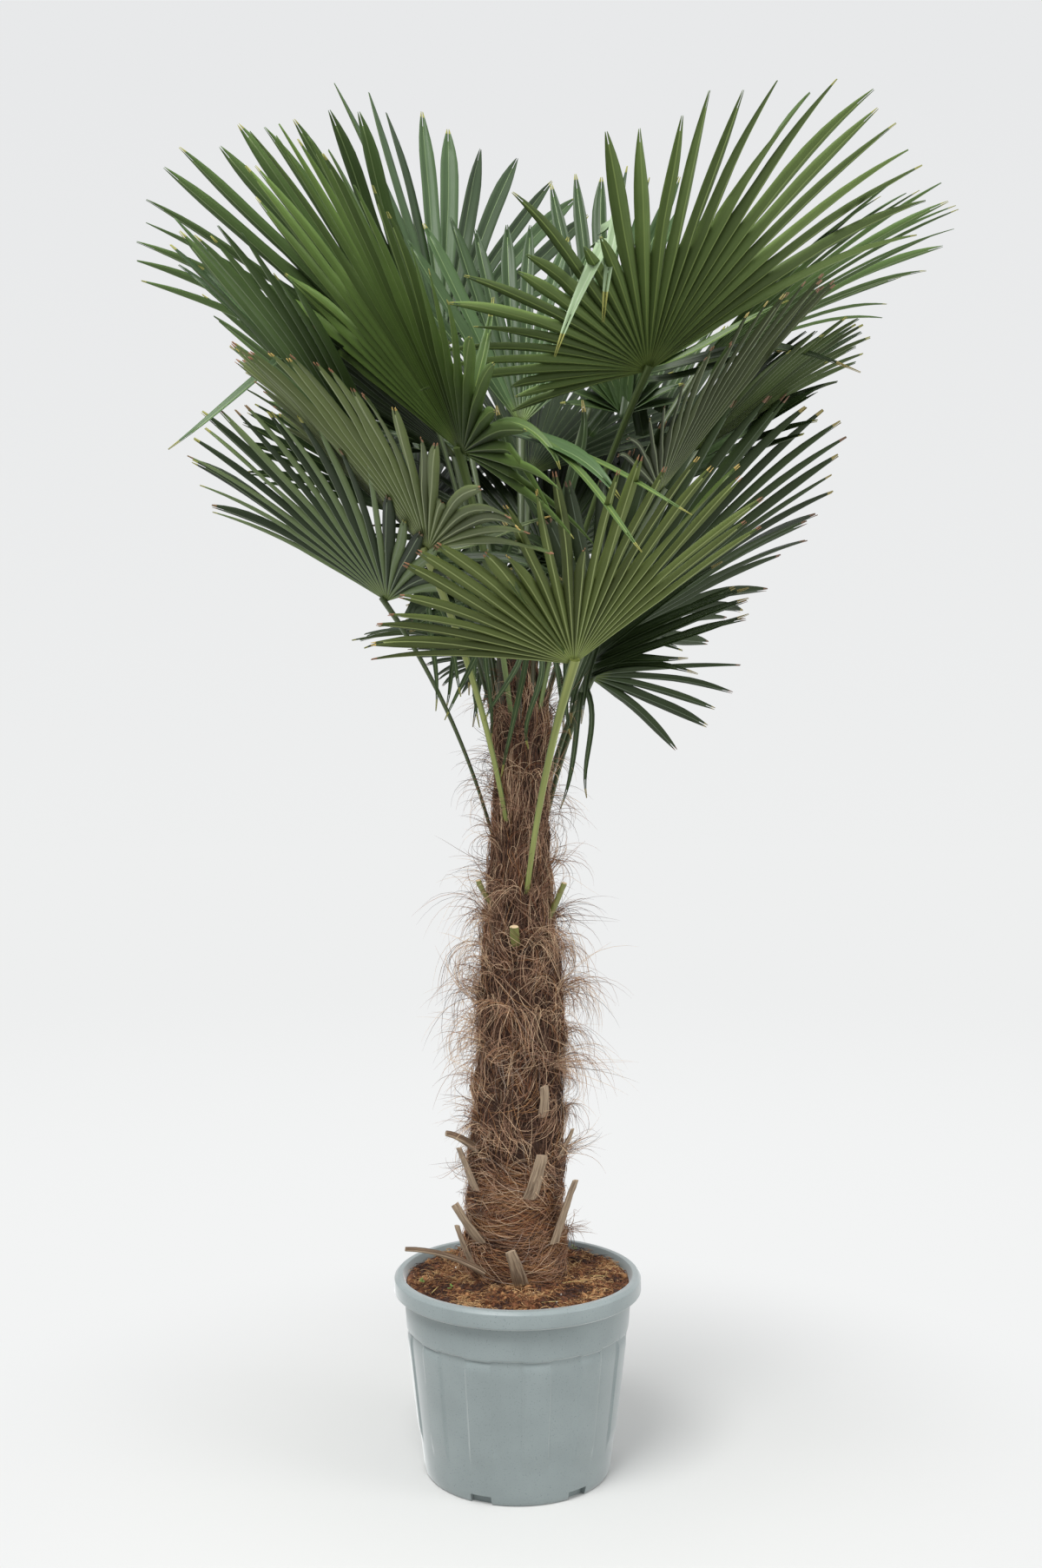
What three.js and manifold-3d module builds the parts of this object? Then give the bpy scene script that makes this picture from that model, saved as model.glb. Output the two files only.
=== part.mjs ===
// Windmill palm standing in a round nursery pot.
// Millimetres, +Z up. The origin is the middle of the pot's flat underside, the front faces -Y.
//
// The palm is one unbranched trunk on the potting soil, a crown of fan leaves and the stubs of
// leaves that were cut off. Each leaf is a petiole and a blade: the blade is a thin pleated fan,
// whole near its root and cut to the rib between its leaflets further out.

import * as THREE from 'three';
import { mergeVertices } from 'three/addons/utils/BufferGeometryUtils.js';
import Module from 'manifold-3d';

const wasm = await Module();
wasm.setup();

// ---------- driving dimensions ----------

const GAP = 0.3;                // clearance between pieces that touch
const NEARBY = 0.01;            // radians between two rays that give a blade's direction across

const POT = {
  height: 366,
  wall: 3,
  floor: 5,
  footRadius: 171,              // flat ring that the pot stands on
  footCorner: 12,               // height of the rounded lower corner
  footCornerWidth: 3,
  lowRadius: 176,
  midHeight: 141,
  midRadius: 191.5,
  ledgeHeight: 268,             // top of the tapering body, where the collar steps out
  ledgeRadius: 203.6,
  ledgeBand: 22,                // upright band under the step
  ledgeStep: 4,                 // height over which the wall steps out
  collarRadius: 209.5,
  collarTopHeight: 330,
  collarTopRadius: 213.5,
  rimHeight: 34,
  rimRadius: 232.5,
  rimRound: 4,
  rimSlope: 6,                  // how far the rim's underside slopes in
  mouthDepth: 14,               // depth of the bevelled mouth
  segments: 40,
};

const FOOT_NOTCH = { count: 6, width: 40, height: 16, firstAngle: -112 };

const SOIL = { top: 366, edgeTop: 352, flatRadius: 118, shoulderRadius: 150, shoulderTop: 361 };

const TRUNK = {
  sides: 20,
  tipHeight: 1560,
  lumpDepth: 4,                 // how far the old leaf bases swell the outline
  lumpsAround: 5,
  lumpPitch: 130,               // height of one turn of the leaf bases
  // height above the pot's underside, radius, and how far the middle leans to +X
  rings: [
    [366, 112, -6],
    [390, 107, -6],
    [470, 101, -5],
    [555, 99, -3],
    [633, 95, 0],
    [715, 91, 3],
    [797, 87, 6],
    [880, 82, 6],
    [962, 76, 4],
    [1045, 69, 3],
    [1126, 64, 3],
    [1210, 61, 5],
    [1290, 59, 7],
    [1400, 55, 8],
    [1490, 42, 8],
    [1540, 24, 8],
  ],
};

const PETIOLE = {
  sides: 6,
  steps: 7,
  footRadius: 8,
  tipRadius: 5.2,
  bendOut: 0.3,                 // share of the way out at which the arch's control point stands
  bendUp: 0.53,                 // and share of the way up
  footDepth: 34,                // how far the axis runs on into the trunk before it is trimmed
  tipReach: 12,                 // how far the tip runs on under the blade, past its root
  tipSeat: 0.7,                 // depth of the tip's axis under the blade, in tip radii
};

const BLADE = {
  leafletAngle: 11,             // degrees of the fan that one solid leaflet takes
  splitShare: 0.42,             // share of the radius over which the leaflets are joined
  shoulderShare: 0.74,          // where a leaflet starts to taper to its tip
  shoulderWidth: 0.86,          // width there, as a share of the width at the split
  pleatShare: 0.012,            // height of the pleats, as a share of the radius
  thicknessShare: 0.011,
  sideShortening: 0.38,         // how much shorter a leaflet at 150 degrees from the axis is
  sideShorteningAngle: 150,
  droopPower: 2.2,
  droopUpright: 0.25,           // share of the droop that an upright leaflet keeps
  lengthVariation: 0.03,
  variationStep: 7,             // radians from one leaflet to the next in the uneven lengths
  bentShare: 0.62,              // reach of a leaflet that is bent over
};

const STUB = { sides: 7, steps: 6, footDepth: 22, bow: 0.2 };

// One row a leaf. root is the point where the petiole ends and the leaflets meet; bearing, rise
// and roll turn the blade's axis, in degrees, from +X towards +Y, up, and about itself. fold
// closes the fan like a book, droop bends the leaflets down, skew makes one side longer, spread
// is the stretch of leaflets on each side of the axis, foot is the height on the trunk, and
// bent is a stretch where the leaflets are broken and hang over.
const FRONDS = [
  { name: 'front_low', root: [95, -340, 1487], bearing: -89, rise: 42, roll: 15, length: 430,
    fold: 12, droop: 0.09, skew: 0.13, spread: [-80, 64], foot: 1110 },
  { name: 'right_top_front', root: [230, -200, 2014], bearing: -83, rise: 39, roll: 17, length: 560,
    fold: 10, droop: 0.12, skew: 0.18, spread: [-104, 70], foot: 1440, bent: [-38, -16] },
  { name: 'left_top_front', root: [-95, -250, 1859], bearing: -144, rise: 55, roll: -16, length: 620,
    fold: -6, droop: 0.05, skew: -0.08, spread: [-50, 105], foot: 1420 },
  { name: 'left_front', root: [-155, -250, 1690], bearing: -138, rise: 41, roll: -20, length: 490,
    fold: 9, droop: 0.10, skew: 0, spread: [-60, 82], foot: 1250 },
  { name: 'right_front', root: [258, -120, 1815], bearing: -31, rise: 47, roll: 22, length: 480,
    fold: 11, droop: 0.06, skew: 0.03, spread: [-80, 20], foot: 1330 },
  { name: 'right_low', root: [165, 200, 1563], bearing: 3, rise: 41, roll: -20, length: 665,
    fold: 7, droop: 0.08, skew: -0.03, spread: [-90, 62], foot: 1230 },
  { name: 'left_low', root: [-248, 0, 1632], bearing: 177, rise: 43, roll: 21, length: 505,
    fold: 4, droop: 0.11, skew: -0.02, spread: [-30, 112], foot: 1215 },
  { name: 'left_top', root: [-158, 0, 1997], bearing: -163, rise: 37, roll: 24, length: 663,
    fold: 9, droop: 0.07, skew: -0.08, spread: [-26, 46], foot: 1460 },
  { name: 'back_left_top', root: [-147, 180, 2163], bearing: 135, rise: 73, roll: -4, length: 560,
    fold: 16, droop: 0.04, skew: 0, spread: [-62, 20], foot: 1480 },
  { name: 'right_top', root: [346, 100, 2098], bearing: -6, rise: 33, roll: -2, length: 580,
    fold: 2, droop: 0.05, skew: 0.02, spread: [-50, 40], foot: 1440 },
  { name: 'back_right_low', root: [137, 150, 1501], bearing: 31, rise: 6, roll: -40, length: 390,
    fold: 2, droop: 0.13, skew: 0.04, spread: [-55, 35], foot: 1180 },
  { name: 'left_middle', root: [-236, -50, 1839], bearing: -169, rise: 48, roll: -13, length: 600,
    fold: 16, droop: 0.05, skew: 0.01, spread: [-20, 60], foot: 1340 },
  { name: 'right_middle', root: [340, 50, 1925], bearing: -3, rise: 37, roll: -5, length: 405,
    fold: -1, droop: 0.06, skew: 0.03, spread: [-62, 26], foot: 1350 },
  { name: 'back_left_middle', root: [-220, 180, 1884], bearing: 183, rise: 45, roll: 17, length: 565,
    fold: 12, droop: 0.04, skew: 0.01, spread: [-45, 20], foot: 1370 },
  { name: 'left_inner', root: [-112, 70, 1915], bearing: 172, rise: 34, roll: 6, length: 450,
    fold: 6, droop: 0.06, skew: 0, spread: [-60, 50], foot: 1405 },
  { name: 'centre_young_left', root: [6, 120, 1992], bearing: 95, rise: 78, roll: 9, length: 437,
    fold: 18, droop: 0.02, skew: 0.02, spread: [-50, 50], foot: 1530 },
  { name: 'centre_young_right', root: [164, 200, 2098], bearing: 60, rise: 87, roll: 2, length: 440,
    fold: 15, droop: 0.03, skew: 0.08, spread: [-45, 20], foot: 1515 },
  { name: 'back_middle', root: [62, 300, 1750], bearing: 88, rise: 62, roll: 0, length: 430,
    fold: 10, droop: 0.06, skew: 0, spread: [-85, 85], foot: 1300 },
  { name: 'back_left_low', root: [-40, 230, 1535], bearing: 128, rise: 4, roll: 30, length: 235,
    fold: 6, droop: 0.14, skew: 0, spread: [-90, 80], foot: 1190 },
  { name: 'back_right', root: [225, 290, 1862], bearing: 45, rise: 58, roll: 0, length: 530,
    fold: 8, droop: 0.06, skew: 0, spread: [-82, 82], foot: 1395 },
  { name: 'back_left', root: [-215, 300, 1838], bearing: 128, rise: 54, roll: 0, length: 445,
    fold: 8, droop: 0.06, skew: 0, spread: [-88, 88], foot: 1375 },
  { name: 'back_low', root: [0, 360, 1590], bearing: 92, rise: 20, roll: 0, length: 400,
    fold: 6, droop: 0.14, skew: 0, spread: [-88, 88], foot: 1230 },
  { name: 'back_top', root: [20, 300, 1930], bearing: 88, rise: 55, roll: 0, length: 470,
    fold: 10, droop: 0.06, skew: 0, spread: [-80, 80], foot: 1460 },
];

// The stubs of old leaves: height and bearing of the foot on the trunk, the offset of the cut
// end from the foot, outwards, sideways and up, and the radii of foot and cut end.
const STUBS = [
  { name: 'stub_long_left', foot: 386, bearing: -125, reach: [104, 93, 56], radii: [10, 7] },
  { name: 'stub_front_low', foot: 372, bearing: -83, reach: [26, 24, 72], radii: [9, 6] },
  { name: 'stub_left_low', foot: 440, bearing: -133, reach: [26, 30, 72], radii: [11, 7] },
  { name: 'stub_left', foot: 532, bearing: -145, reach: [22, 10, 80], radii: [10, 6] },
  { name: 'stub_left_high', foot: 605, bearing: -150, reach: [50, 10, 34], radii: [8, 5] },
  { name: 'stub_front', foot: 525, bearing: -73, reach: [22, -13, 86], radii: [9, 6] },
  { name: 'stub_right_low', foot: 436, bearing: -38, reach: [32, -8, 120], radii: [10, 6] },
  { name: 'stub_right', foot: 588, bearing: -25, reach: [18, 0, 56], radii: [9, 5] },
  { name: 'stub_cut_front', foot: 985, bearing: -96, reach: [24, 0, 40], radii: [11, 10] },
  { name: 'stub_cut_right', foot: 1035, bearing: -20, reach: [22, 4, 66], radii: [11, 10] },
  { name: 'stub_cut_left', foot: 1058, bearing: -155, reach: [18, 0, 48], radii: [8, 7] },
];

// ---------- materials ----------

const paint = (color, roughness) => new THREE.MeshStandardMaterial({ color, roughness, metalness: 0 });

const POT_PAINT = () => paint(0x93a2a2, 0.62);
const SOIL_PAINT = () => paint(0x6b3f28, 0.95);
const FIBRE_PAINT = () => paint(0x6b4f3d, 0.95);
const PETIOLE_PAINT = () => paint(0x7f9a4e, 0.5);
const LEAF_PAINT = () => paint(0x46602f, 0.5);
const STUB_PAINT = () => paint(0x8a7458, 0.9);

// ---------- solids ----------

const up = new THREE.Vector3(0, 0, 1);

// A closed mesh as a solid that can be joined and cut.
function toSolid(geometry) {
  const bare = geometry.clone();
  bare.deleteAttribute('normal');
  bare.deleteAttribute('uv');
  const merged = mergeVertices(bare, 1e-4);
  return new wasm.Manifold(new wasm.Mesh({
    numProp: 3,
    vertProperties: new Float32Array(merged.attributes.position.array),
    triVerts: new Uint32Array(merged.index.array),
  }));
}

function toGeometry(solid) {
  const mesh = solid.getMesh();
  const geometry = new THREE.BufferGeometry();
  geometry.setAttribute('position', new THREE.BufferAttribute(mesh.vertProperties, 3));
  geometry.setIndex(new THREE.BufferAttribute(mesh.triVerts, 1));
  geometry.computeVertexNormals();
  return geometry;
}

// The largest of the pieces that a cut leaves.
function mainPiece(solid) {
  return solid.decompose().reduce((a, b) => (a.volume() > b.volume() ? a : b));
}

// A solid trimmed back from each neighbour whose box it meets.
function trimmedBy(solid, neighbours) {
  let result = solid;
  for (const neighbour of neighbours) {
    if (!result.intersect(neighbour).isEmpty()) {
      result = result.subtract(neighbour);
    }
  }
  return mainPiece(result);
}

// ---------- pot and soil ----------

// The pot's outer outline from the foot up to the rim, as [radius, height].
function potOutline() {
  const rimFoot = POT.height - POT.rimHeight;
  return [
    [POT.footRadius, 0],
    [POT.footRadius + POT.footCornerWidth, POT.footCorner / 3],
    [POT.lowRadius, POT.footCorner],
    [POT.midRadius, POT.midHeight],
    [POT.ledgeRadius, POT.ledgeHeight - POT.ledgeBand],
    [POT.ledgeRadius, POT.ledgeHeight],
    [POT.collarRadius, POT.ledgeHeight + POT.ledgeStep],
    [POT.collarTopRadius, POT.collarTopHeight],
    [POT.rimRadius - POT.rimSlope, rimFoot],
    [POT.rimRadius, rimFoot + POT.rimRound],
    [POT.rimRadius, POT.height - POT.rimRound],
    [POT.rimRadius - POT.rimRound, POT.height],
  ];
}

// The pot's inner outline from the rim down to the floor.
function potInside(clearance) {
  const wall = POT.wall + clearance;
  return [
    [POT.collarTopRadius + wall, POT.height],
    [POT.collarTopRadius - wall, POT.height - POT.mouthDepth],
    [POT.collarTopRadius - wall, POT.collarTopHeight],
    [POT.collarRadius - wall, POT.ledgeHeight + POT.ledgeStep],
    [POT.ledgeRadius - wall, POT.ledgeHeight],
    [POT.midRadius - wall, POT.midHeight],
    [POT.lowRadius - wall, POT.footCorner],
    [POT.footRadius - wall, POT.floor + clearance],
  ];
}

const turned = (outline) => {
  const points = outline.map(([radius, height]) => new THREE.Vector2(radius, height));
  const geometry = new THREE.LatheGeometry(points, POT.segments);
  return geometry.rotateX(Math.PI / 2);
};

function potSolid() {
  const outline = [[0, 0], ...potOutline(), ...potInside(0), [0, POT.floor]];
  let solid = toSolid(turned(outline));
  for (let i = 0; i < FOOT_NOTCH.count; i += 1) {
    const angle = THREE.MathUtils.degToRad(FOOT_NOTCH.firstAngle + (i * 360) / FOOT_NOTCH.count);
    const notch = new THREE.BoxGeometry(POT.wall * 2, FOOT_NOTCH.width, FOOT_NOTCH.height * 2);
    notch.translate(POT.lowRadius, 0, 0);
    notch.rotateZ(angle);
    solid = solid.subtract(toSolid(notch));
  }
  return solid;
}

function soilSolid() {
  const edgeRadius = POT.collarTopRadius - POT.wall - GAP;
  const outline = [
    [0, SOIL.top],
    [SOIL.flatRadius, SOIL.top],
    [SOIL.shoulderRadius, SOIL.shoulderTop],
    [edgeRadius, SOIL.edgeTop],
    ...potInside(GAP).filter(([, height]) => height < SOIL.edgeTop),
    [0, POT.floor + GAP],
  ].reverse();
  return toSolid(turned(outline));
}

// ---------- trunk ----------

// The trunk's radius and lean at a height, from the list of rings.
function trunkAt(height) {
  const rings = TRUNK.rings;
  const last = rings.length - 1;
  if (height <= rings[0][0]) {
    return { radius: rings[0][1], lean: rings[0][2] };
  }
  if (height >= rings[last][0]) {
    return { radius: rings[last][1], lean: rings[last][2] };
  }
  const i = rings.findIndex(([level]) => level > height);
  const [lowLevel, lowRadius, lowLean] = rings[i - 1];
  const [highLevel, highRadius, highLean] = rings[i];
  const share = (height - lowLevel) / (highLevel - lowLevel);
  return {
    radius: THREE.MathUtils.lerp(lowRadius, highRadius, share),
    lean: THREE.MathUtils.lerp(lowLean, highLean, share),
  };
}

// The trunk, swollen by the old leaf bases that run round it in a spiral.
function trunkSolid(grow) {
  const base = SOIL.top + GAP;
  const levels = TRUNK.rings.map(([height]) => Math.max(height, base));
  const tip = TRUNK.tipHeight + grow;
  const points = [[0, base - grow], ...levels.map((height) => [1, height]), [0, tip]];
  points[1][1] = base - grow;
  const outline = points.map(([x, y]) => new THREE.Vector2(x, y));
  const geometry = new THREE.LatheGeometry(outline, TRUNK.sides).rotateX(Math.PI / 2);
  const position = geometry.attributes.position;
  for (let i = 0; i < position.count; i += 1) {
    const height = position.getZ(i);
    const { radius, lean } = trunkAt(height);
    const angle = Math.atan2(position.getY(i), position.getX(i));
    const onAxis = Math.hypot(position.getX(i), position.getY(i)) < 0.5;
    const turn = (height / TRUNK.lumpPitch) * Math.PI * 2;
    const lump = TRUNK.lumpDepth * Math.sin(TRUNK.lumpsAround * angle + turn);
    const reach = onAxis ? 0 : radius + lump + grow;
    position.setXYZ(i, lean + reach * Math.cos(angle), reach * Math.sin(angle), height);
  }
  return toSolid(geometry);
}

// ---------- limbs ----------

// A limb of round section along a curve, tapering from its foot to its tip.
function limbGeometry(curve, steps, sides, footRadius, tipRadius) {
  const section = new THREE.Shape();
  for (let i = 0; i < sides; i += 1) {
    const angle = (i / sides) * Math.PI * 2;
    const [x, y] = [Math.cos(angle), Math.sin(angle)];
    if (i === 0) {
      section.moveTo(x, y);
    } else {
      section.lineTo(x, y);
    }
  }
  section.closePath();
  const geometry = new THREE.ExtrudeGeometry(section, { steps, extrudePath: curve, bevelEnabled: false });
  const centres = curve.getSpacedPoints(steps);
  const position = geometry.attributes.position;
  const point = new THREE.Vector3();
  for (let i = 0; i < position.count; i += 1) {
    point.fromBufferAttribute(position, i);
    let step = 0;
    centres.forEach((centre, k) => {
      if (point.distanceTo(centre) < point.distanceTo(centres[step])) {
        step = k;
      }
    });
    const radius = THREE.MathUtils.lerp(footRadius, tipRadius, step / steps);
    point.sub(centres[step]).multiplyScalar(radius).add(centres[step]);
    position.setXYZ(i, point.x, point.y, point.z);
  }
  return geometry;
}

const outward = (bearing) => new THREE.Vector3(Math.cos(bearing), Math.sin(bearing), 0);

// The arched line of a petiole, from inside the trunk to just under the blade's root.
function petioleCurve(frond) {
  const { axis: bladeAxis, face } = bladeFrame(frond);
  const depth = (frond.length * BLADE.thicknessShare) / 2 + PETIOLE.tipRadius * PETIOLE.tipSeat;
  const tip = new THREE.Vector3(...frond.root).addScaledVector(bladeAxis, PETIOLE.tipReach);
  tip.addScaledVector(face, -depth);
  const { radius, lean } = trunkAt(frond.foot);
  const away = outward(Math.atan2(tip.y, tip.x - lean));
  const foot = new THREE.Vector3(lean, 0, frond.foot).addScaledVector(away, radius);
  const middle = foot.clone().lerp(tip, PETIOLE.bendOut);
  middle.z = THREE.MathUtils.lerp(foot.z, tip.z, PETIOLE.bendUp);
  foot.addScaledVector(foot.clone().sub(middle).normalize(), PETIOLE.footDepth);
  return new THREE.QuadraticBezierCurve3(foot, middle, tip);
}

function petioleSolid(frond, grow) {
  const curve = petioleCurve(frond);
  const { steps, sides, footRadius, tipRadius } = PETIOLE;
  return toSolid(limbGeometry(curve, steps, sides, footRadius + grow, tipRadius + grow));
}

function stubSolid(stub, grow) {
  const bearing = THREE.MathUtils.degToRad(stub.bearing);
  const { radius, lean } = trunkAt(stub.foot);
  const away = outward(bearing);
  const sideways = new THREE.Vector3().crossVectors(up, away);
  const foot = new THREE.Vector3(lean, 0, stub.foot).addScaledVector(away, radius - STUB.footDepth);
  const [out, side, rise] = stub.reach;
  const end = foot.clone().addScaledVector(away, out + STUB.footDepth);
  end.addScaledVector(sideways, -side).addScaledVector(up, rise);
  const middle = foot.clone().lerp(end, 0.5).addScaledVector(away, out * STUB.bow);
  const curve = new THREE.QuadraticBezierCurve3(foot, middle, end);
  const [footRadius, tipRadius] = stub.radii;
  return toSolid(limbGeometry(curve, STUB.steps, STUB.sides, footRadius + grow, tipRadius + grow));
}

// ---------- blades ----------

// The blade's axis, its side and its upper face, as unit vectors.
function bladeFrame(frond) {
  const [bearing, rise, roll] = [frond.bearing, frond.rise, frond.roll].map(THREE.MathUtils.degToRad);
  const flat = outward(bearing);
  const axis = flat.clone().multiplyScalar(Math.cos(rise)).addScaledVector(up, Math.sin(rise));
  const face = flat.clone().multiplyScalar(-Math.sin(rise)).addScaledVector(up, Math.cos(rise));
  face.applyAxisAngle(axis, roll);
  const side = new THREE.Vector3().crossVectors(face, axis);
  return { axis, side, face };
}

// A function that gives a point of the blade: angle from the axis, share of the leaflet's
// length, and offsets across the leaflet and out of the blade's face.
function bladeSurface(frond) {
  const { axis, side, face } = bladeFrame(frond);
  const fold = THREE.MathUtils.degToRad(frond.fold);
  const root = new THREE.Vector3(...frond.root);
  const along = (angle) => axis.clone().multiplyScalar(Math.cos(angle))
    .addScaledVector(side, Math.sin(angle) * Math.cos(fold))
    .addScaledVector(face, Math.abs(Math.sin(angle)) * Math.sin(fold));
  const widest = THREE.MathUtils.degToRad(BLADE.sideShorteningAngle);
  return (angle, share, across, lift) => {
    const ray = along(angle);
    const cross = along(angle + NEARBY).sub(along(angle - NEARBY)).normalize();
    const out = new THREE.Vector3().crossVectors(ray, cross).normalize();
    const shortening = 1 - BLADE.sideShortening * (angle / widest) ** 2;
    const length = frond.length * shortening * (1 + frond.skew * Math.sin(angle));
    const level = BLADE.droopUpright + (1 - BLADE.droopUpright) * Math.hypot(ray.x, ray.y);
    const sag = frond.droop * length * level * Math.max(share, 0) ** BLADE.droopPower;
    return root.clone().addScaledVector(ray, length * share).addScaledVector(up, -sag)
      .addScaledVector(cross, across).addScaledVector(out, lift);
  };
}

// The blade as a closed, thin pleated fan. grow thickens and widens it all round.
function bladeSolid(frond, grow) {
  const surface = bladeSurface(frond);
  const [from, to] = frond.spread.map(THREE.MathUtils.degToRad);
  const [bentFrom, bentTo] = (frond.bent ?? [0, 0]).map(THREE.MathUtils.degToRad);
  const count = Math.round((frond.spread[1] - frond.spread[0]) / BLADE.leafletAngle);
  const half = (to - from) / count / 2;
  const thick = (frond.length * BLADE.thicknessShare) / 2 + grow;
  const pleat = frond.length * BLADE.pleatShare;
  const splitHalfWidth = Math.sin(half) * BLADE.splitShare * frond.length;
  const shoulderHalfWidth = splitHalfWidth * BLADE.shoulderWidth + grow;
  const positions = [];
  const triangles = [];
  // Each corner of the outline is a pair of points, one on the upper and one on the lower face.
  const corner = (angle, share, across, lift) => {
    [thick, -thick].forEach((offset) => {
      positions.push(...surface(angle, share, across, lift + offset).toArray());
    });
    return positions.length / 3 - 2;
  };
  const panel = (a, b, c) => triangles.push(a, b, c, a + 1, c + 1, b + 1);
  const edge = (a, b) => triangles.push(a, a + 1, b + 1, a, b + 1, b);
  const centre = corner((from + to) / 2, -grow / frond.length, 0, 0);
  const seams = [];
  for (let k = 0; k <= count; k += 1) {
    const widening = { 0: -grow, [count]: grow }[k] ?? 0;
    seams.push(corner(from + 2 * half * k, BLADE.splitShare, widening, pleat));
  }
  for (let k = 0; k < count; k += 1) {
    const angle = from + half * (2 * k + 1);
    const isBent = angle > bentFrom && angle < bentTo;
    const variation = BLADE.lengthVariation * Math.sin(BLADE.variationStep * k + frond.length);
    const reach = isBent ? BLADE.bentShare : 1 + variation;
    const shoulder = Math.min(BLADE.shoulderShare, (BLADE.splitShare + reach) / 2);
    const rib = corner(angle, BLADE.splitShare, 0, -pleat);
    const left = corner(angle, shoulder, -shoulderHalfWidth, pleat / 2);
    const middle = corner(angle, shoulder, 0, -pleat / 2);
    const right = corner(angle, shoulder, shoulderHalfWidth, pleat / 2);
    const tip = corner(angle, reach + grow / frond.length, 0, 0);
    const [first, second] = [seams[k], seams[k + 1]];
    panel(centre, first, rib);
    panel(centre, rib, second);
    panel(first, left, rib);
    panel(rib, left, middle);
    panel(rib, middle, second);
    panel(second, middle, right);
    panel(left, tip, middle);
    panel(middle, tip, right);
    edge(first, left);
    edge(left, tip);
    edge(tip, right);
    edge(right, second);
  }
  edge(centre, seams[0]);
  edge(seams[count], centre);
  const geometry = new THREE.BufferGeometry();
  geometry.setAttribute('position', new THREE.Float32BufferAttribute(positions, 3));
  geometry.setIndex(triangles);
  return toSolid(geometry);
}

// ---------- the plant ----------

const group = new THREE.Group();

function add(name, solid, material) {
  const mesh = new THREE.Mesh(toGeometry(solid), material);
  mesh.name = name;
  group.add(mesh);
}

add('pot', potSolid(), POT_PAINT());
add('soil', soilSolid(), SOIL_PAINT());
add('trunk', trunkSolid(0), FIBRE_PAINT());

const trunkSpace = trunkSolid(GAP);
const petioles = FRONDS.map((frond) => petioleSolid(frond, 0));
const petioleSpaces = FRONDS.map((frond) => petioleSolid(frond, GAP));
const bladeSpaces = FRONDS.map((frond) => bladeSolid(frond, GAP));

// Petioles give way to the trunk, to their own blade and to the petioles before them.
FRONDS.forEach((frond, i) => {
  const neighbours = [trunkSpace, bladeSpaces[i], ...petioleSpaces.slice(0, i)];
  add(`petiole_${frond.name}`, trimmedBy(petioles[i], neighbours), PETIOLE_PAINT());
});

// Blades give way to the trunk, to every other petiole and to the blades before them.
FRONDS.forEach((frond, i) => {
  const otherPetioles = petioleSpaces.filter((space, k) => k !== i);
  const neighbours = [trunkSpace, ...otherPetioles, ...bladeSpaces.slice(0, i)];
  add(`blade_${frond.name}`, trimmedBy(bladeSolid(frond, 0), neighbours), LEAF_PAINT());
});

// Stubs give way to the trunk, to the petioles and to the stubs before them.
STUBS.forEach((stub, i) => {
  const earlier = STUBS.slice(0, i).map((other) => stubSolid(other, GAP));
  const neighbours = [trunkSpace, ...petioleSpaces, ...earlier];
  add(stub.name, trimmedBy(stubSolid(stub, 0), neighbours), STUB_PAINT());
});

export default group;
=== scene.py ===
# %% [markdown]
# # A windmill palm in its pot
# The palm stands in one frame with its solid model: metres, +Z up, the origin in the middle of
# the pot's underside, the front facing -Y. The solids give every leaf, stalk and stub its place.
# This script grows the fine plant over them by the same rules, so nothing has to be fitted.

# %% Load the frame
import math
import random

import bmesh
import bpy
import numpy as np
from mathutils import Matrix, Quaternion, Vector, noise


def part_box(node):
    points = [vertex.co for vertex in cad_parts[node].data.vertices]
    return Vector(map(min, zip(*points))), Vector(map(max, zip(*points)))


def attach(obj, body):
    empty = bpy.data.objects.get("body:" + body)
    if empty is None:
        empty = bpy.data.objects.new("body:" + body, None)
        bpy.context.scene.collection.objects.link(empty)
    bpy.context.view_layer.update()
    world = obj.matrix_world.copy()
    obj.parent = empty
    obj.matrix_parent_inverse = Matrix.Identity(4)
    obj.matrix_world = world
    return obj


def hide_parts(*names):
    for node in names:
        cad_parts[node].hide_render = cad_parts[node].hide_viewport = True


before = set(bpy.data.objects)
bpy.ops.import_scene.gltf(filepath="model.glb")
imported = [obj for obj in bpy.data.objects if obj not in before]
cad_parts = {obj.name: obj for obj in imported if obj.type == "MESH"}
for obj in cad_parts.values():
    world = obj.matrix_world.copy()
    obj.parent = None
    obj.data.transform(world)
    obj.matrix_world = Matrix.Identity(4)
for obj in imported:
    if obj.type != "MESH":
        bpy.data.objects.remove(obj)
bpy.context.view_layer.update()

SCENE = bpy.context.scene
UP = Vector((0, 0, 1))
DOWN = -UP
MM = 0.001

# %% [markdown]
# ## Colours and nodes
# Paint and pigment are usually given as sRGB hex values, while shaders work in linear light, so
# one function turns the first into the second. A second small function adds a shader node, sets
# it up and links it, which keeps each material down to the lines that say something about it.


# %% Colour and node helpers
def linear(hex_colour, factor=1.0):
    """An sRGB hex colour as linear RGBA, made lighter or darker by a factor."""
    channels = [int(hex_colour[i:i + 2], 16) / 255 for i in (1, 3, 5)]
    bright = [c / 12.92 if c <= 0.04045 else ((c + 0.055) / 1.055) ** 2.4 for c in channels]
    return [min(c * factor, 1.0) for c in bright] + [1.0]


def add_node(tree, kind, inputs=None, **settings):
    """A shader node of a kind, such as Bump, with its settings; an input is a value or another
    node's output."""
    made = tree.nodes.new("ShaderNode" + kind)
    for name, value in settings.items():
        setattr(made, name, value)
    for socket, value in (inputs or {}).items():
        if isinstance(value, bpy.types.NodeSocket):
            tree.links.new(value, made.inputs[socket])
        else:
            made.inputs[socket].default_value = value
    return made


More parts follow.
